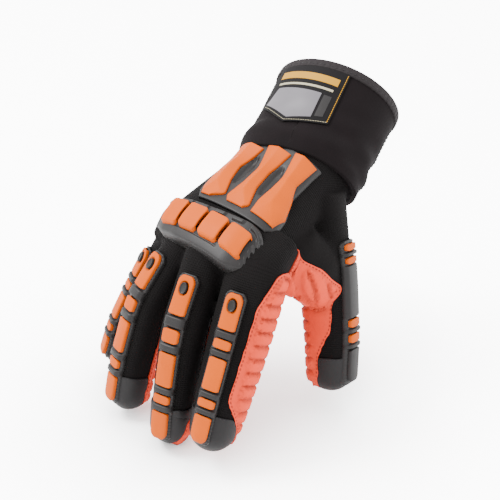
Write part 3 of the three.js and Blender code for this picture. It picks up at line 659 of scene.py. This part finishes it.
def rim_lines(obj, inward):
    """The patch's rims as runs of points, drawn in from the edge along its surface."""
    bm = bmesh.new()
    bm.from_mesh(obj.data)
    left = dict.fromkeys(e for e in bm.edges if e.is_boundary)  # keeps its order, as a set doesn't
    runs = []
    while left:
        edge = next(iter(left))
        del left[edge]
        v, run = edge.verts[0], []
        while edge:
            face = edge.link_faces[0]
            inner = (face.calc_center_median() - v.co).normalized()
            run.append((v.co.copy(), inner, face.normal.copy()))
            v = edge.other_vert(v)
            edge = next((e for e in v.link_edges if e in left), None)
            left.pop(edge, None)
        if len(run) > 12:
            points, inner, up = (np.array(column) for column in zip(*run))
            for _ in range(8):
                inner = (inner + np.roll(inner, 1, 0) + np.roll(inner, -1, 0)) / 3
                points = (points + 0.5 * (np.roll(points, 1, 0) + np.roll(points, -1, 0))) / 2
            inner /= np.maximum(np.linalg.norm(inner, axis=1)[:, None], 1e-9)
            runs.append((points + inner * inward * 0.001, up))
    bm.free()
    return runs


def stitched(name, runs, pitch, length, radius, material, lift=0.1):
    """Stitches along lines of points with normals, each a small rounded bead of thread."""
    bm = bmesh.new()
    for points, up in runs:
        gaps = np.linalg.norm(np.diff(points, axis=0), axis=1)
        reach = np.concatenate([[0], np.cumsum(gaps)])
        for d in np.arange(pitch / 2, reach[-1] * 1000, pitch) * 0.001:
            at, ahead = (np.array([np.interp(x, reach, points[:, k]) for k in range(3)])
                         for x in (d, min(d + 0.001, reach[-1])))
            normal = np.array([np.interp(d, reach, up[:, k]) for k in range(3)])
            x = Vector(ahead - at)
            if x.length < 1e-6 or np.linalg.norm(normal) < 1e-6:
                continue
            x.normalize()
            z = Vector(normal).normalized()
            y = z.cross(x).normalized()
            turn = Matrix((x, y, x.cross(y))).transposed().to_4x4()
            turn.translation = Vector(at) + z * lift * 0.001
            size = Matrix.Diagonal((length / 2 * 0.001, radius * 0.001, radius * 0.001, 1))
            bmesh.ops.create_icosphere(bm, subdivisions=1, radius=1, matrix=turn @ size)
    return trimming(new_object(name, bm, material))


def swapped(obj, *nodes, slot=None):
    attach(obj, "root")
    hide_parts(*nodes)
    return obj


def trimming(obj):
    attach(obj, "root")
    return obj


SLOTS = {
    "neoprene": "neoprene", "tape": "black_tape", "orange": "orange_rubber", "rubber": "black_rubber",
    "label": "black_label", "patch": "grey_reflective", "yellow": "yellow_print",
}


def dressed(name, bm, materials, kind):
    """A piece that takes the place of the CAD node with its name."""
    return swapped(new_object(name, bm, materials[kind]), name.replace(" ", "_"), slot=SLOTS[kind])


# Pieces

def build_hand(settings, materials):
    mesh = hand_surface(settings.voxel)
    m = hand_measures(mesh)
    knit = bpy.data.objects.new("knit_hand", mesh.copy())
    bpy.context.scene.collection.objects.link(knit)
    knit.data.materials.append(materials["knit"])
    give_measures(knit, m, ("along", "across", "back"))
    bm = bmesh.new()
    bm.from_mesh(knit.data)
    under_cuff = [v for v in bm.verts if m["palm_along"][v.index] < -9]
    bmesh.ops.delete(bm, geom=under_cuff, context="VERTS")
    bm.to_mesh(knit.data)
    bm.free()
    for face in knit.data.polygons:
        face.use_smooth = True
    wall = knit.modifiers.new("wall", "SOLIDIFY")
    wall.thickness, wall.offset = KNIT_WALL * 0.001, -1
    swapped(knit, "hand_shell", slot="black_knit")

    cell = [np.abs(((m[key] / PAD_PITCH) % 1) - 0.5) * 2 for key in ("along", "across")]
    raised = smooth(cell[0], 0.84, 0.66) * smooth(cell[1], 0.84, 0.66) * smooth(m["panel"], 2.2, 3.6)
    lift = PANEL_LIFT + PAD_RISE * raised
    coral = patch(mesh, m["panel"], lift, "coral panel", materials["coral"], PANEL_WALL)
    swapped(coral, "palm_panel", slot="coral_leather")
    rims = rim_lines(coral, 1.6)
    stitched("coral seam", rims, 2.6, 1.9, 0.24, materials["coral thread"])

    for k, (name, digit) in enumerate(HAND.items()):
        start = CAP_START * digit.length
        s, _, _ = digit.local(m["mm"])
        inside = np.minimum(s - start, -m["panel"] - 0.3)
        inside[m["owner"] != k] = -3
        cap = patch(mesh, inside, CAP_WALL, f"{name} cap", materials["leather"], CAP_WALL)
        swapped(cap, f"{name}_tip_cap", slot="black_leather")
        rims = rim_lines(cap, 1.3)
        stitched(f"{name} cap seam", rims, 2.4, 1.7, 0.2, materials["black thread"], 0.05)
    bpy.data.meshes.remove(mesh)


def limited(digit, shift, width):
    """The two sides of a strip at s, kept within the digit's back."""
    def edges(s):
        most = 0.86 * digit.half(s)[0]
        return np.clip(shift - width / 2, -most, most), np.clip(shift + width / 2, -most, most)
    return edges


def build_guard(name, materials):
    digit = HAND[name]
    start, end, width, pad_width, shift = GUARDS[name]
    pads = THUMB_PADS if name == "thumb" else FINGER_PADS
    first, last = start * digit.length, end * digit.length
    edges = limited(digit, shift, width)

    def at(share):
        return first + (last - first) * share

    def ends(s):
        narrow = np.clip(np.sqrt(np.clip(np.minimum(s - first, last - s) / 3.2, 0, 1)) * 0.5 + 0.5, 0, 1)
        return [e * narrow + shift * (1 - narrow) for e in edges(s)]

    def strip_height(s, t, q):
        high = STRIP_HEIGHT + 0 * s
        for before, after in zip(pads, pads[1:]):
            a, b = at(before[2]) + 0.25, at(after[1]) - 0.25
            top = RIDGE_HEIGHT if b - a < 12 else WIDE_RIDGE_HEIGHT
            rise = smooth(s, a, a + 0.9) * smooth(s, b, b - 0.9)
            high = high + (top - STRIP_HEIGHT) * rise * (1 - 0.55 * smooth(np.abs(q), 0.72, 1))
        rib = RIB_HEIGHT * smooth(np.cos(2 * np.pi * s / RIB_PITCH), -0.2, 0.7)
        rib = rib * smooth(np.abs(q) * width, pad_width, pad_width + 0.8)
        high = high + rib * (high < STRIP_HEIGHT + 0.4)
        return high - rounded(from_rim(s, (first, last), q, width), 0.8)

    strip = relief(digit.back, (first, last), ends, strip_height, -0.9, 340, 26)
    dressed(f"{name} guard strip", strip, materials, "rubber")

    hole_at = at(0.09)
    for pad, share_from, share_to in pads:
        a, b = at(share_from) + 0.15, at(share_to) - 0.15
        round_start = 5.0 if pad == "knuckle_pad" else 1.0
        round_end = 5.5 if pad == "tip_pad" else 1.0

        def outline(s, a=a, b=b, round_start=round_start, round_end=round_end):
            most = 0.84 * digit.half(s)[0]
            trim = np.minimum(quarter(s - a, round_start), quarter(b - s, round_end))
            half = pad_width / 2 * (0.3 + 0.7 * trim)
            return np.clip(shift - half, -most, most), np.clip(shift + half, -most, most)

        def pad_top(s, t, q, a=a, b=b, pad=pad):
            top = PAD_HEIGHT - rounded(from_rim(s, (a, b), q, pad_width), 0.7)
            if pad == "knuckle_pad":
                away = np.hypot((s - hole_at) / 4.3, q * pad_width / 6.0)
                floor = np.minimum(top, STRIP_HEIGHT + 0.1)
                top = np.where(away < 1, floor, top - rounded((away - 1) * 3.2, 0.5))
            return top

        fine = max(16, int((b - a) / 0.55)) if pad != "knuckle_pad" else 64
        black = name == "thumb" and pad == "tip_pad"
        made = relief(digit.back, (a, b), outline, pad_top, 1.2, fine, 30)
        dressed(f"{name} {pad}", made, materials, "rubber" if black else "orange")

    if name != "thumb":
        f = digit.frame(np.array(hole_at))
        middle = digit.back(np.array(hole_at), np.array(float(shift)), np.array(3.4))
        turn = Matrix([Vector(f[k]) for k in ("along", "side", "up")]).transposed().to_4x4()
        turn.translation = Vector(middle * 0.001)
        bm = bmesh.new()
        size = Matrix.Diagonal((0.0037, 0.0024, 1, 1))
        bmesh.ops.create_cone(bm, cap_ends=True, segments=40, radius1=1, radius2=0.94, depth=0.0036,
                              matrix=turn @ size)
        tops = [face for face in bm.faces if len(face.verts) > 4]
        bmesh.ops.inset_region(bm, faces=tops, thickness=0.0008, depth=-0.0006)
        rims = [e for e in bm.edges if e.calc_face_angle(0) > 0.6]
        bmesh.ops.bevel(bm, geom=rims, offset=0.0003, offset_type="OFFSET", segments=2, profile=0.5,
                        affect="EDGES", material=-1, clamp_overlap=True)
        trimming(new_object(f"{name} eyelet", bm, materials["rubber"]))


# Outlines on the back of the hand: at, little side, thumb side
PLATE = np.array([(0.13, -0.52, 0.7), (0.22, -0.68, 0.7), (0.45, -0.62, 0.72), (0.6, -0.6, 0.84),
                  (0.73, -0.55, 0.88), (0.79, -0.44, 0.78)])
BARS = {
    "little_side": [(0.22, -0.63, -0.17), (0.42, -0.57, -0.28), (0.56, -0.55, -0.2),
                    (0.7, -0.51, -0.07), (0.76, -0.44, -0.3)],
    "middle": [(0.18, -0.13, 0.29), (0.38, -0.01, 0.21), (0.54, 0.01, 0.26),
               (0.7, -0.03, 0.39), (0.74, 0.04, 0.31)],
    "thumb_side": [(0.15, 0.33, 0.67), (0.36, 0.42, 0.65), (0.5, 0.44, 0.77),
                   (0.62, 0.43, 0.85), (0.73, 0.47, 0.83)],
}


def eased(x, at, values, softness):
    """A table's value at x, averaged over five places that reach softness to each side."""
    return np.mean([np.interp(x + d, at, values) for d in np.linspace(-softness, softness, 5)], axis=0)


def eased_edges(rows, softness=2.0):
    """Left and right sides of a piece on the palm at s millimetres, eased between the rows."""
    rows = np.array(rows, float)
    def edges(s):
        return tuple(eased(s, rows[:, 0] * PALM_LENGTH, rows[:, k], softness) * PALM_WIDTH / 2 for k in (1, 2))
    return edges


def build_hand_guard(materials):
    edges = eased_edges(PLATE)
    span = (PLATE[0, 0] * PALM_LENGTH, PLATE[-1, 0] * PALM_LENGTH)

    def plate_top(s, t, q):
        left, right = edges(s)
        x = (left + (right - left) * (q + 1) / 2) / (PALM_WIDTH / 2)
        top = PLATE_HEIGHT - rounded(from_rim(s, span, q, right - left), 0.9)
        for middle, slope in ((-0.16, 0.05), (0.33, 0.08)):
            away = np.hypot((s - 36) / 13, (x - middle - slope * (s - 36) / 40) / 0.065)
            top = top - 2.0 * smooth(away, 1.05, 0.75)
        return top

    plate = relief(palm_back, span, edges, plate_top, -0.8, 120, 90)
    dressed("hand guard plate", plate, materials, "rubber")
    for name, rows in BARS.items():
        sides = eased_edges(rows, 1.2)
        a, b = rows[0][0] * PALM_LENGTH, rows[-1][0] * PALM_LENGTH

        def bar_top(s, t, q, sides=sides, a=a, b=b):
            left, right = sides(s)
            ridge = 1.3 + 2.4 * np.maximum(np.minimum(1 - np.abs(q), (b - s) / 11), 0)
            return PLATE_HEIGHT + ridge - rounded(from_rim(s, (a, b), q, right - left), 0.7)

        bar = relief(palm_back, (a, b), sides, bar_top, 1.2, 110, 30)
        dressed(f"hand guard bar {name}", bar, materials, "orange")


# across, near edge, far edge, height of the top, height of the foot
ARCH = np.array([
    (-0.86, 0.88, 1.08, 0.82, 0.45), (-0.68, 0.86, 1.12, 1.14, 0.62), (-0.34, 0.85, 1.14, 1.32, 0.85),
    (0, 0.845, 1.145, 1.38, 0.93), (0.34, 0.83, 1.15, 1.36, 0.9), (0.64, 0.81, 1.16, 1.24, 0.76),
    (0.82, 0.82, 1.12, 1.04, 0.58), (0.95, 0.89, 1.04, 0.74, 0.42),
])
BLOCKS = dict(first=-0.74, last=0.84, near=0.895, far=1.08, count=4, gap=2.5)


def arch_row(across, column):
    return eased(across, ARCH[:, 0] * PALM_WIDTH / 2, ARCH[:, column], 2.5)


def arch_point(across, ahead, lift):
    near, far = arch_row(across, 1) * PALM_LENGTH, arch_row(across, 2) * PALM_LENGTH
    top, foot = arch_row(across, 3) * PALM_THICKNESS / 2, arch_row(across, 4) * PALM_THICKNESS / 2
    t = np.clip((ahead - near) / (far - near), 0, 1)
    crown = top + (foot - top) * 0.4 + 1
    z = np.where(t < 0.55, top + (crown - top) * (t / 0.55) ** 1.5,
                 foot + (crown - foot) * ((1 - t) / 0.45) ** 0.8)
    return place(PALM, ahead, across, z + lift)


def build_knuckle_guard(materials):
    span = (ARCH[0, 0] * PALM_WIDTH / 2, ARCH[-1, 0] * PALM_WIDTH / 2)

    def edges(across):
        return arch_row(across, 1) * PALM_LENGTH, arch_row(across, 2) * PALM_LENGTH

    def plate_top(across, t, q):
        near, far = edges(across)
        ahead = near + (far - near) * (q + 1) / 2
        gap = np.minimum(np.minimum(across - span[0], span[1] - across),
                         np.minimum(ahead - near, far - ahead))
        ribs = 0.7 * smooth(np.cos(2 * np.pi * (ahead - near) / 4.2), -0.3, 0.6) * smooth(across, 36.5, 38)
        tabs = 1.5 * smooth(np.cos(2 * np.pi * (across + 6) / 13.5), -0.35, -0.05)
        tabs = tabs * smooth(ahead - near, 4.2, 3.4)
        groove = 0.8 * smooth(np.abs(ahead - (far - 5.4)), 0.7, 0.2) * smooth(np.abs(across + 8), 28, 26)
        return (ribs + tabs - groove) * smooth(gap, 0.4, 1.6) - rounded(gap, 1.0)

    plate = relief(arch_point, span, edges, plate_top, -7.5, 240, 70)
    dressed("knuckle guard plate", plate, materials, "rubber")
    width = (BLOCKS["last"] - BLOCKS["first"]) * PALM_WIDTH / 2 / BLOCKS["count"]
    near, far = BLOCKS["near"] * PALM_LENGTH, BLOCKS["far"] * PALM_LENGTH
    for i in range(BLOCKS["count"]):
        a = BLOCKS["first"] * PALM_WIDTH / 2 + i * width + BLOCKS["gap"] / 2
        b = a + width - BLOCKS["gap"]

        def sides(across, a=a, b=b):
            corner = rounded(np.minimum(across - a, b - across), 2.2)
            return near + corner, far - corner

        def block_top(across, t, q, a=a, b=b):
            return 3.3 - rounded(from_rim(across, (a, b), q, far - near), 0.9)

        block = relief(arch_point, (a, b), sides, block_top, -1.5, 44, 34)
        dressed(f"knuckle guard block {i + 1}", block, materials, "orange")


# at, how far it has opened, how much it rolls out
CUFF = np.array([(-0.2, 0, 0), (-0.05, 0.2, 0.7), (0.05, 0.35, 1), (0.13, 0.4, 0.75), (0.22, 0.5, 0.1),
                 (1, 1, 0)])
# Lower and upper edges of the label's pieces, as shares of half the mouth's width and the cuff's length
LABEL = dict(low=[(-0.76, 0.36), (-0.22, 0.13), (0.38, 0.25), (0.4, 0.26)], high=[(-0.76, 0.9), (0.4, 0.9)])
PATCH = dict(low=[(-0.7, 0.39), (-0.22, 0.2), (0.13, 0.27)], high=[(-0.7, 0.4), (-0.6, 0.6), (0.13, 0.58)])
PRINT = dict(low=[(-0.66, 0.73), (0.3, 0.71)], high=[(-0.66, 0.82), (0.3, 0.8)])
PALE_BAR = dict(low=[(-0.64, 0.645), (0.27, 0.63)], high=[(-0.64, 0.672), (0.27, 0.657)])
SIDE_BOX = dict(low=[(0.17, 0.29), (0.29, 0.31)], high=[(0.17, 0.57), (0.29, 0.57)])


def cuff_sizes(at):
    at = np.asarray(at, float)
    opened, roll = (eased(at, CUFF[:, 0], CUFF[:, k], 0.03) for k in (1, 2))
    fit = CUFF_WALL + 0.3
    w = WRIST_WIDTH / 2 + fit + (MOUTH_WIDTH / 2 - WRIST_WIDTH / 2 - fit) * opened
    h = WRIST_THICKNESS / 2 + fit + (MOUTH_THICKNESS / 2 - WRIST_THICKNESS / 2 - fit) * opened
    return w, h, roll


def cuff_point(angle, at, grow):
    """The cuff's skin: angle 0 is its back, 90 the thumb's side, with soft folds towards the wrist."""
    w, h, roll = cuff_sizes(at)
    bulge = roll * 3.4 * smooth(np.cos(angle + 0.44), -0.4, 0.7)
    folds = 0.7 * np.sin(3.2 * angle + 14 * at + 0.6) + 0.45 * np.sin(5.3 * angle - 22 * at)
    folds = folds * smooth(at, 0.75, 0.2) * smooth(at, -0.1, 0.05)
    folds = folds * (0.25 + 0.75 * smooth(np.sin(angle - 0.3), 0.1, 0.9))
    grow = np.asarray(grow, float) + bulge + folds
    return place(CUFF_FRAME, -at * CUFF_LENGTH, np.sin(angle) * (w + grow), np.cos(angle) * (h + grow))


def on_label(side, height, lift):
    w, _, _ = cuff_sizes(height / CUFF_LENGTH)
    return cuff_point(np.arcsin(np.clip(side / w, -1, 1)), height / CUFF_LENGTH, lift)


def label_piece(outline, low, high, rim):
    """A flat piece on the cuff between two edges, each given as rows across it."""
    rows = {k: np.array(outline[k]) * (MOUTH_WIDTH / 2, CUFF_LENGTH) for k in ("low", "high")}
    span = (rows["low"][0, 0], rows["low"][-1, 0])

    def edges(side):
        return tuple(np.interp(side, rows[k][:, 0], rows[k][:, 1]) for k in ("low", "high"))

    def top(side, t, q):
        bottom, upper = edges(side)
        return high - rounded(from_rim(side, span, q, upper - bottom), rim)

    return relief(on_label, span, edges, top, low, 90, 50)


def build_cuff(materials):
    def tube(u, v):
        angle = u * 2 * np.pi
        out = np.clip(v / 0.48, 0, 1)
        back = np.clip((v - 0.52) / 0.48, 0, 1)
        at = np.where(v < 0.5, -0.14 + 1.12 * out, 0.98 - 1.12 * back)
        return cuff_point(angle, at, np.where(v < 0.5, 0.0, -CUFF_WALL))

    bm = bmesh.new()
    laid_grid(bm, 300, 150, tube, closed=True)
    dressed("cuff", closed_up(bm), materials, "neoprene")

    def tape(u, v):
        angle = u * 2 * np.pi
        turn = (v - 0.5) * 2
        flat = np.clip((np.abs(turn) - 0.35) / 0.65, 0, 1)
        over = np.sin(np.clip(turn / 0.35, -1, 1) * np.pi / 2)
        reach = CUFF_WALL / 2 + 1.0 - 0.9 * smooth(flat, 0.9, 1)
        rim = 0.985 + 0.028 * np.cos(np.clip(turn / 0.35, -1, 1) * np.pi / 2)
        at = rim - flat * 5 / CUFF_LENGTH
        ripple = 0.12 * np.sin(angle * 60) * smooth(flat, 0, 0.3)
        return cuff_point(angle, at, -CUFF_WALL / 2 - over * (reach + ripple))

    bm = bmesh.new()
    laid_grid(bm, 420, 40, tape, closed=True)
    bmesh.ops.recalc_face_normals(bm, faces=bm.faces)
    dressed("cuff binding", bm, materials, "tape")

    thread = materials["black thread"]
    turns = np.linspace(0, 2 * np.pi, 260)

    def ring(at, grow):
        return cuff_point(turns, np.full(len(turns), at), grow) * 0.001

    out = ring(0.5, 1.0) - ring(0.5, 0.0)
    stitched("binding seam", [(ring(0.935, 1.05), out)], 2.6, 1.8, 0.2, thread, 0.05)
    side = np.linspace(0.02, 0.97, 60)
    seam = np.full(60, np.pi * 0.62)
    line = cuff_point(seam, side, 0.05) * 0.001
    lifted = cuff_point(seam, side, 1.05) * 0.001
    stitched("cuff side seam", [(line, lifted - line)], 3.0, 2.2, 0.25, thread, 0.05)

    dressed("cuff label", label_piece(LABEL, -0.6, 1.1, 0.25), materials, "label")
    dressed("label patch", label_piece(PATCH, 0.6, 1.45, 0.2), materials, "patch")
    dressed("label bar", label_piece(PRINT, 0.6, 1.4, 0.15), materials, "yellow")
    trimming(new_object("label pale bar", label_piece(PALE_BAR, 0.6, 1.3, 0.12), materials["white"]))
    trimming(new_object("label side box", label_piece(SIDE_BOX, 0.6, 1.3, 0.12), materials["rubber"]))

    def run(rows, count=40):
        rows = np.array(rows, float) * (MOUTH_WIDTH / 2, CUFF_LENGTH)
        t = np.linspace(0, len(rows) - 1, count)
        x, y = (np.interp(t, range(len(rows)), rows[:, k]) for k in (0, 1))
        low = on_label(x, y, 1.12) * 0.001
        return low, on_label(x, y, 2.12) * 0.001 - low

    edge = [run([(0.375, 0.27), (0.375, 0.88)])]
    stitched("label yellow edge", edge, 1.5, 1.7, 0.28, materials["yellow"], 0.0)
    edge = [run([(-0.73, 0.375), (-0.22, 0.155), (0.37, 0.27)])]
    stitched("label pale edge", edge, 1.5, 1.6, 0.2, materials["white"], 0.0)


# Stage

CAMERA_DISTANCE, CAMERA_AZIMUTH, CAMERA_RISE = 0.867, 45, 32
FOCAL_PIXELS, PICTURE, WRIST_PIXEL = 1389, 500, (302, 167)


def view_axes():
    a, e = math.radians(CAMERA_AZIMUTH), math.radians(CAMERA_RISE)
    back = Vector((math.sin(a) * math.cos(e), -math.cos(a) * math.cos(e), math.sin(e)))
    right = Vector((math.cos(a), math.sin(a), 0))
    return right, back.cross(right), back


def aimed(name, at, target, size, power):
    """A white disk light that faces the target."""
    data = bpy.data.lights.new(name, "AREA")
    data.energy = power
    data.shape, data.size = "DISK", size
    lamp = bpy.data.objects.new(name, data)
    lamp.location = at
    lamp.rotation_euler = (Vector(target) - Vector(at)).to_track_quat("-Z", "Y").to_euler()
    bpy.context.scene.collection.objects.link(lamp)
    return lamp


def build_stage(settings):
    low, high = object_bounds()
    middle = (Vector(low) + Vector(high)) / 2
    right, up, back = view_axes()
    shift_x = (WRIST_PIXEL[0] - PICTURE / 2) * CAMERA_DISTANCE / FOCAL_PIXELS
    shift_y = -(WRIST_PIXEL[1] - PICTURE / 2) * CAMERA_DISTANCE / FOCAL_PIXELS
    data = bpy.data.cameras.new("camera")
    data.sensor_width, data.lens = 36, 36 * FOCAL_PIXELS / PICTURE
    camera = bpy.data.objects.new("camera", data)
    camera.location = back * CAMERA_DISTANCE - right * shift_x - up * shift_y + Vector(WRIST * 0.001)
    camera.rotation_euler = Matrix((right, up, back)).transposed().to_euler()
    bpy.context.scene.collection.objects.link(camera)
    bpy.context.scene.camera = camera

    bm = bmesh.new()
    bmesh.ops.create_grid(bm, x_segments=2, y_segments=2, size=6, matrix=Matrix.Translation((0, 0, low[2])))
    floor_material = bpy.data.materials.new("pale floor")
    floor_material.use_nodes = True
    tree = floor_material.node_tree
    shader = tree.nodes["Principled BSDF"]
    shader.inputs["Base Color"].default_value = linear("#fbfbfb")
    shader.inputs["Roughness"].default_value = 0.8
    # glows for the camera alone, less where the glove is near, so the ground stays white with a soft shadow
    seen = add_node(tree, "ShaderNodeLightPath").outputs["Is Camera Ray"]
    near = add_node(tree, "ShaderNodeAmbientOcclusion", Distance=0.14).outputs["AO"]
    glow = math_node(tree, "MULTIPLY", math_node(tree, "POWER", near, 3.0), seen)
    full = math_node(tree, "MULTIPLY", glow, settings.floor_glow)
    shader.inputs["Emission Color"].default_value = (1, 1, 1, 1)
    tree.links.new(full, shader.inputs["Emission Strength"])
    floor = new_object("floor", bm, floor_material)

    world = bpy.data.worlds.new("studio")
    world.use_nodes = True
    sky = world.node_tree.nodes["Background"]
    sky.inputs["Color"].default_value = (1, 1, 1, 1)
    sky.inputs["Strength"].default_value = settings.surround
    bpy.context.scene.world = world
    upper_left = middle - right * 0.75 + up * 0.85 + back * 0.45
    far_right = middle + right * 1.0 + up * 0.35 + back * 0.1
    key = aimed("key light", upper_left, middle, 0.5, settings.key_power)
    rim = aimed("side light", far_right, middle, 0.6, settings.side_power)
    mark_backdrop(floor, camera, key, rim)


# Add-on

class GloveSettings(bpy.types.PropertyGroup):
    voxel: bpy.props.FloatProperty(
        name="Hand detail", description="Size of the faces of the hand's surface", default=0.0015,
        min=0.0008, max=0.004, unit="LENGTH", precision=4)
    surround: bpy.props.FloatProperty(
        name="Surround", description="Strength of the even white light", default=3.0, min=0.0, max=9.0,
        subtype="FACTOR")
    floor_glow: bpy.props.FloatProperty(
        name="Floor glow", description="How much the floor is lifted towards white for the camera",
        default=7.0, min=0.0, max=20.0, subtype="FACTOR")
    key_power: bpy.props.FloatProperty(
        name="Key light", description="Power of the light from the upper left", default=34.0, min=0.0,
        unit="POWER")
    side_power: bpy.props.FloatProperty(
        name="Side light", description="Power of the light from the right", default=8.0, min=0.0, unit="POWER")


class GLOVE_OT_hand(bpy.types.Operator):
    """Build the knit hand, the coral panel and the fingertip caps"""
    bl_idname = "glove.hand"
    bl_label = "Hand, panel and caps"

    def execute(self, context):
        build_hand(context.scene.glove, make_materials_once())
        return {"FINISHED"}


class GLOVE_OT_finger_guards(bpy.types.Operator):
    """Build the rubber strips and pads of the fingers and the thumb"""
    bl_idname = "glove.finger_guards"
    bl_label = "Finger guards"

    def execute(self, context):
        for name in HAND:
            build_guard(name, make_materials_once())
        return {"FINISHED"}


class GLOVE_OT_back_guards(bpy.types.Operator):
    """Build the guards over the back of the hand and over the knuckles"""
    bl_idname = "glove.back_guards"
    bl_label = "Hand and knuckle guards"

    def execute(self, context):
        build_hand_guard(make_materials_once())
        build_knuckle_guard(make_materials_once())
        return {"FINISHED"}


class GLOVE_OT_cuff(bpy.types.Operator):
    """Build the cuff, its binding and its label"""
    bl_idname = "glove.cuff"
    bl_label = "Cuff and label"

    def execute(self, context):
        build_cuff(make_materials_once())
        return {"FINISHED"}


class GLOVE_OT_stage(bpy.types.Operator):
    """Build the floor, the camera and the lights"""
    bl_idname = "glove.stage"
    bl_label = "Stage"

    def execute(self, context):
        build_stage(context.scene.glove)
        return {"FINISHED"}


class GLOVE_PT_panel(bpy.types.Panel):
    """Buttons and settings of the glove"""
    bl_idname = "GLOVE_PT_panel"
    bl_label = "Glove"
    bl_space_type = "VIEW_3D"
    bl_region_type = "UI"
    bl_category = "Glove"

    def draw(self, context):
        for key in ("voxel", "surround", "floor_glow", "key_power", "side_power"):
            self.layout.prop(context.scene.glove, key)
        for operator in OPERATORS:
            self.layout.operator(operator.bl_idname)


OPERATORS = (GLOVE_OT_hand, GLOVE_OT_finger_guards, GLOVE_OT_back_guards, GLOVE_OT_cuff, GLOVE_OT_stage)
CLASSES = (GloveSettings, *OPERATORS, GLOVE_PT_panel)
MATERIALS = {}


def make_materials_once():
    if not MATERIALS:
        MATERIALS.update(make_materials())
    return MATERIALS


def register():
    for cls in CLASSES:
        bpy.utils.register_class(cls)
    bpy.types.Scene.glove = bpy.props.PointerProperty(type=GloveSettings)


def unregister():
    del bpy.types.Scene.glove
    for cls in reversed(CLASSES):
        bpy.utils.unregister_class(cls)


def main():
    register()
    bpy.ops.glove.hand()
    bpy.ops.glove.finger_guards()
    bpy.ops.glove.back_guards()
    bpy.ops.glove.cuff()
    bpy.ops.glove.stage()


if __name__ == "__main__":
    main()
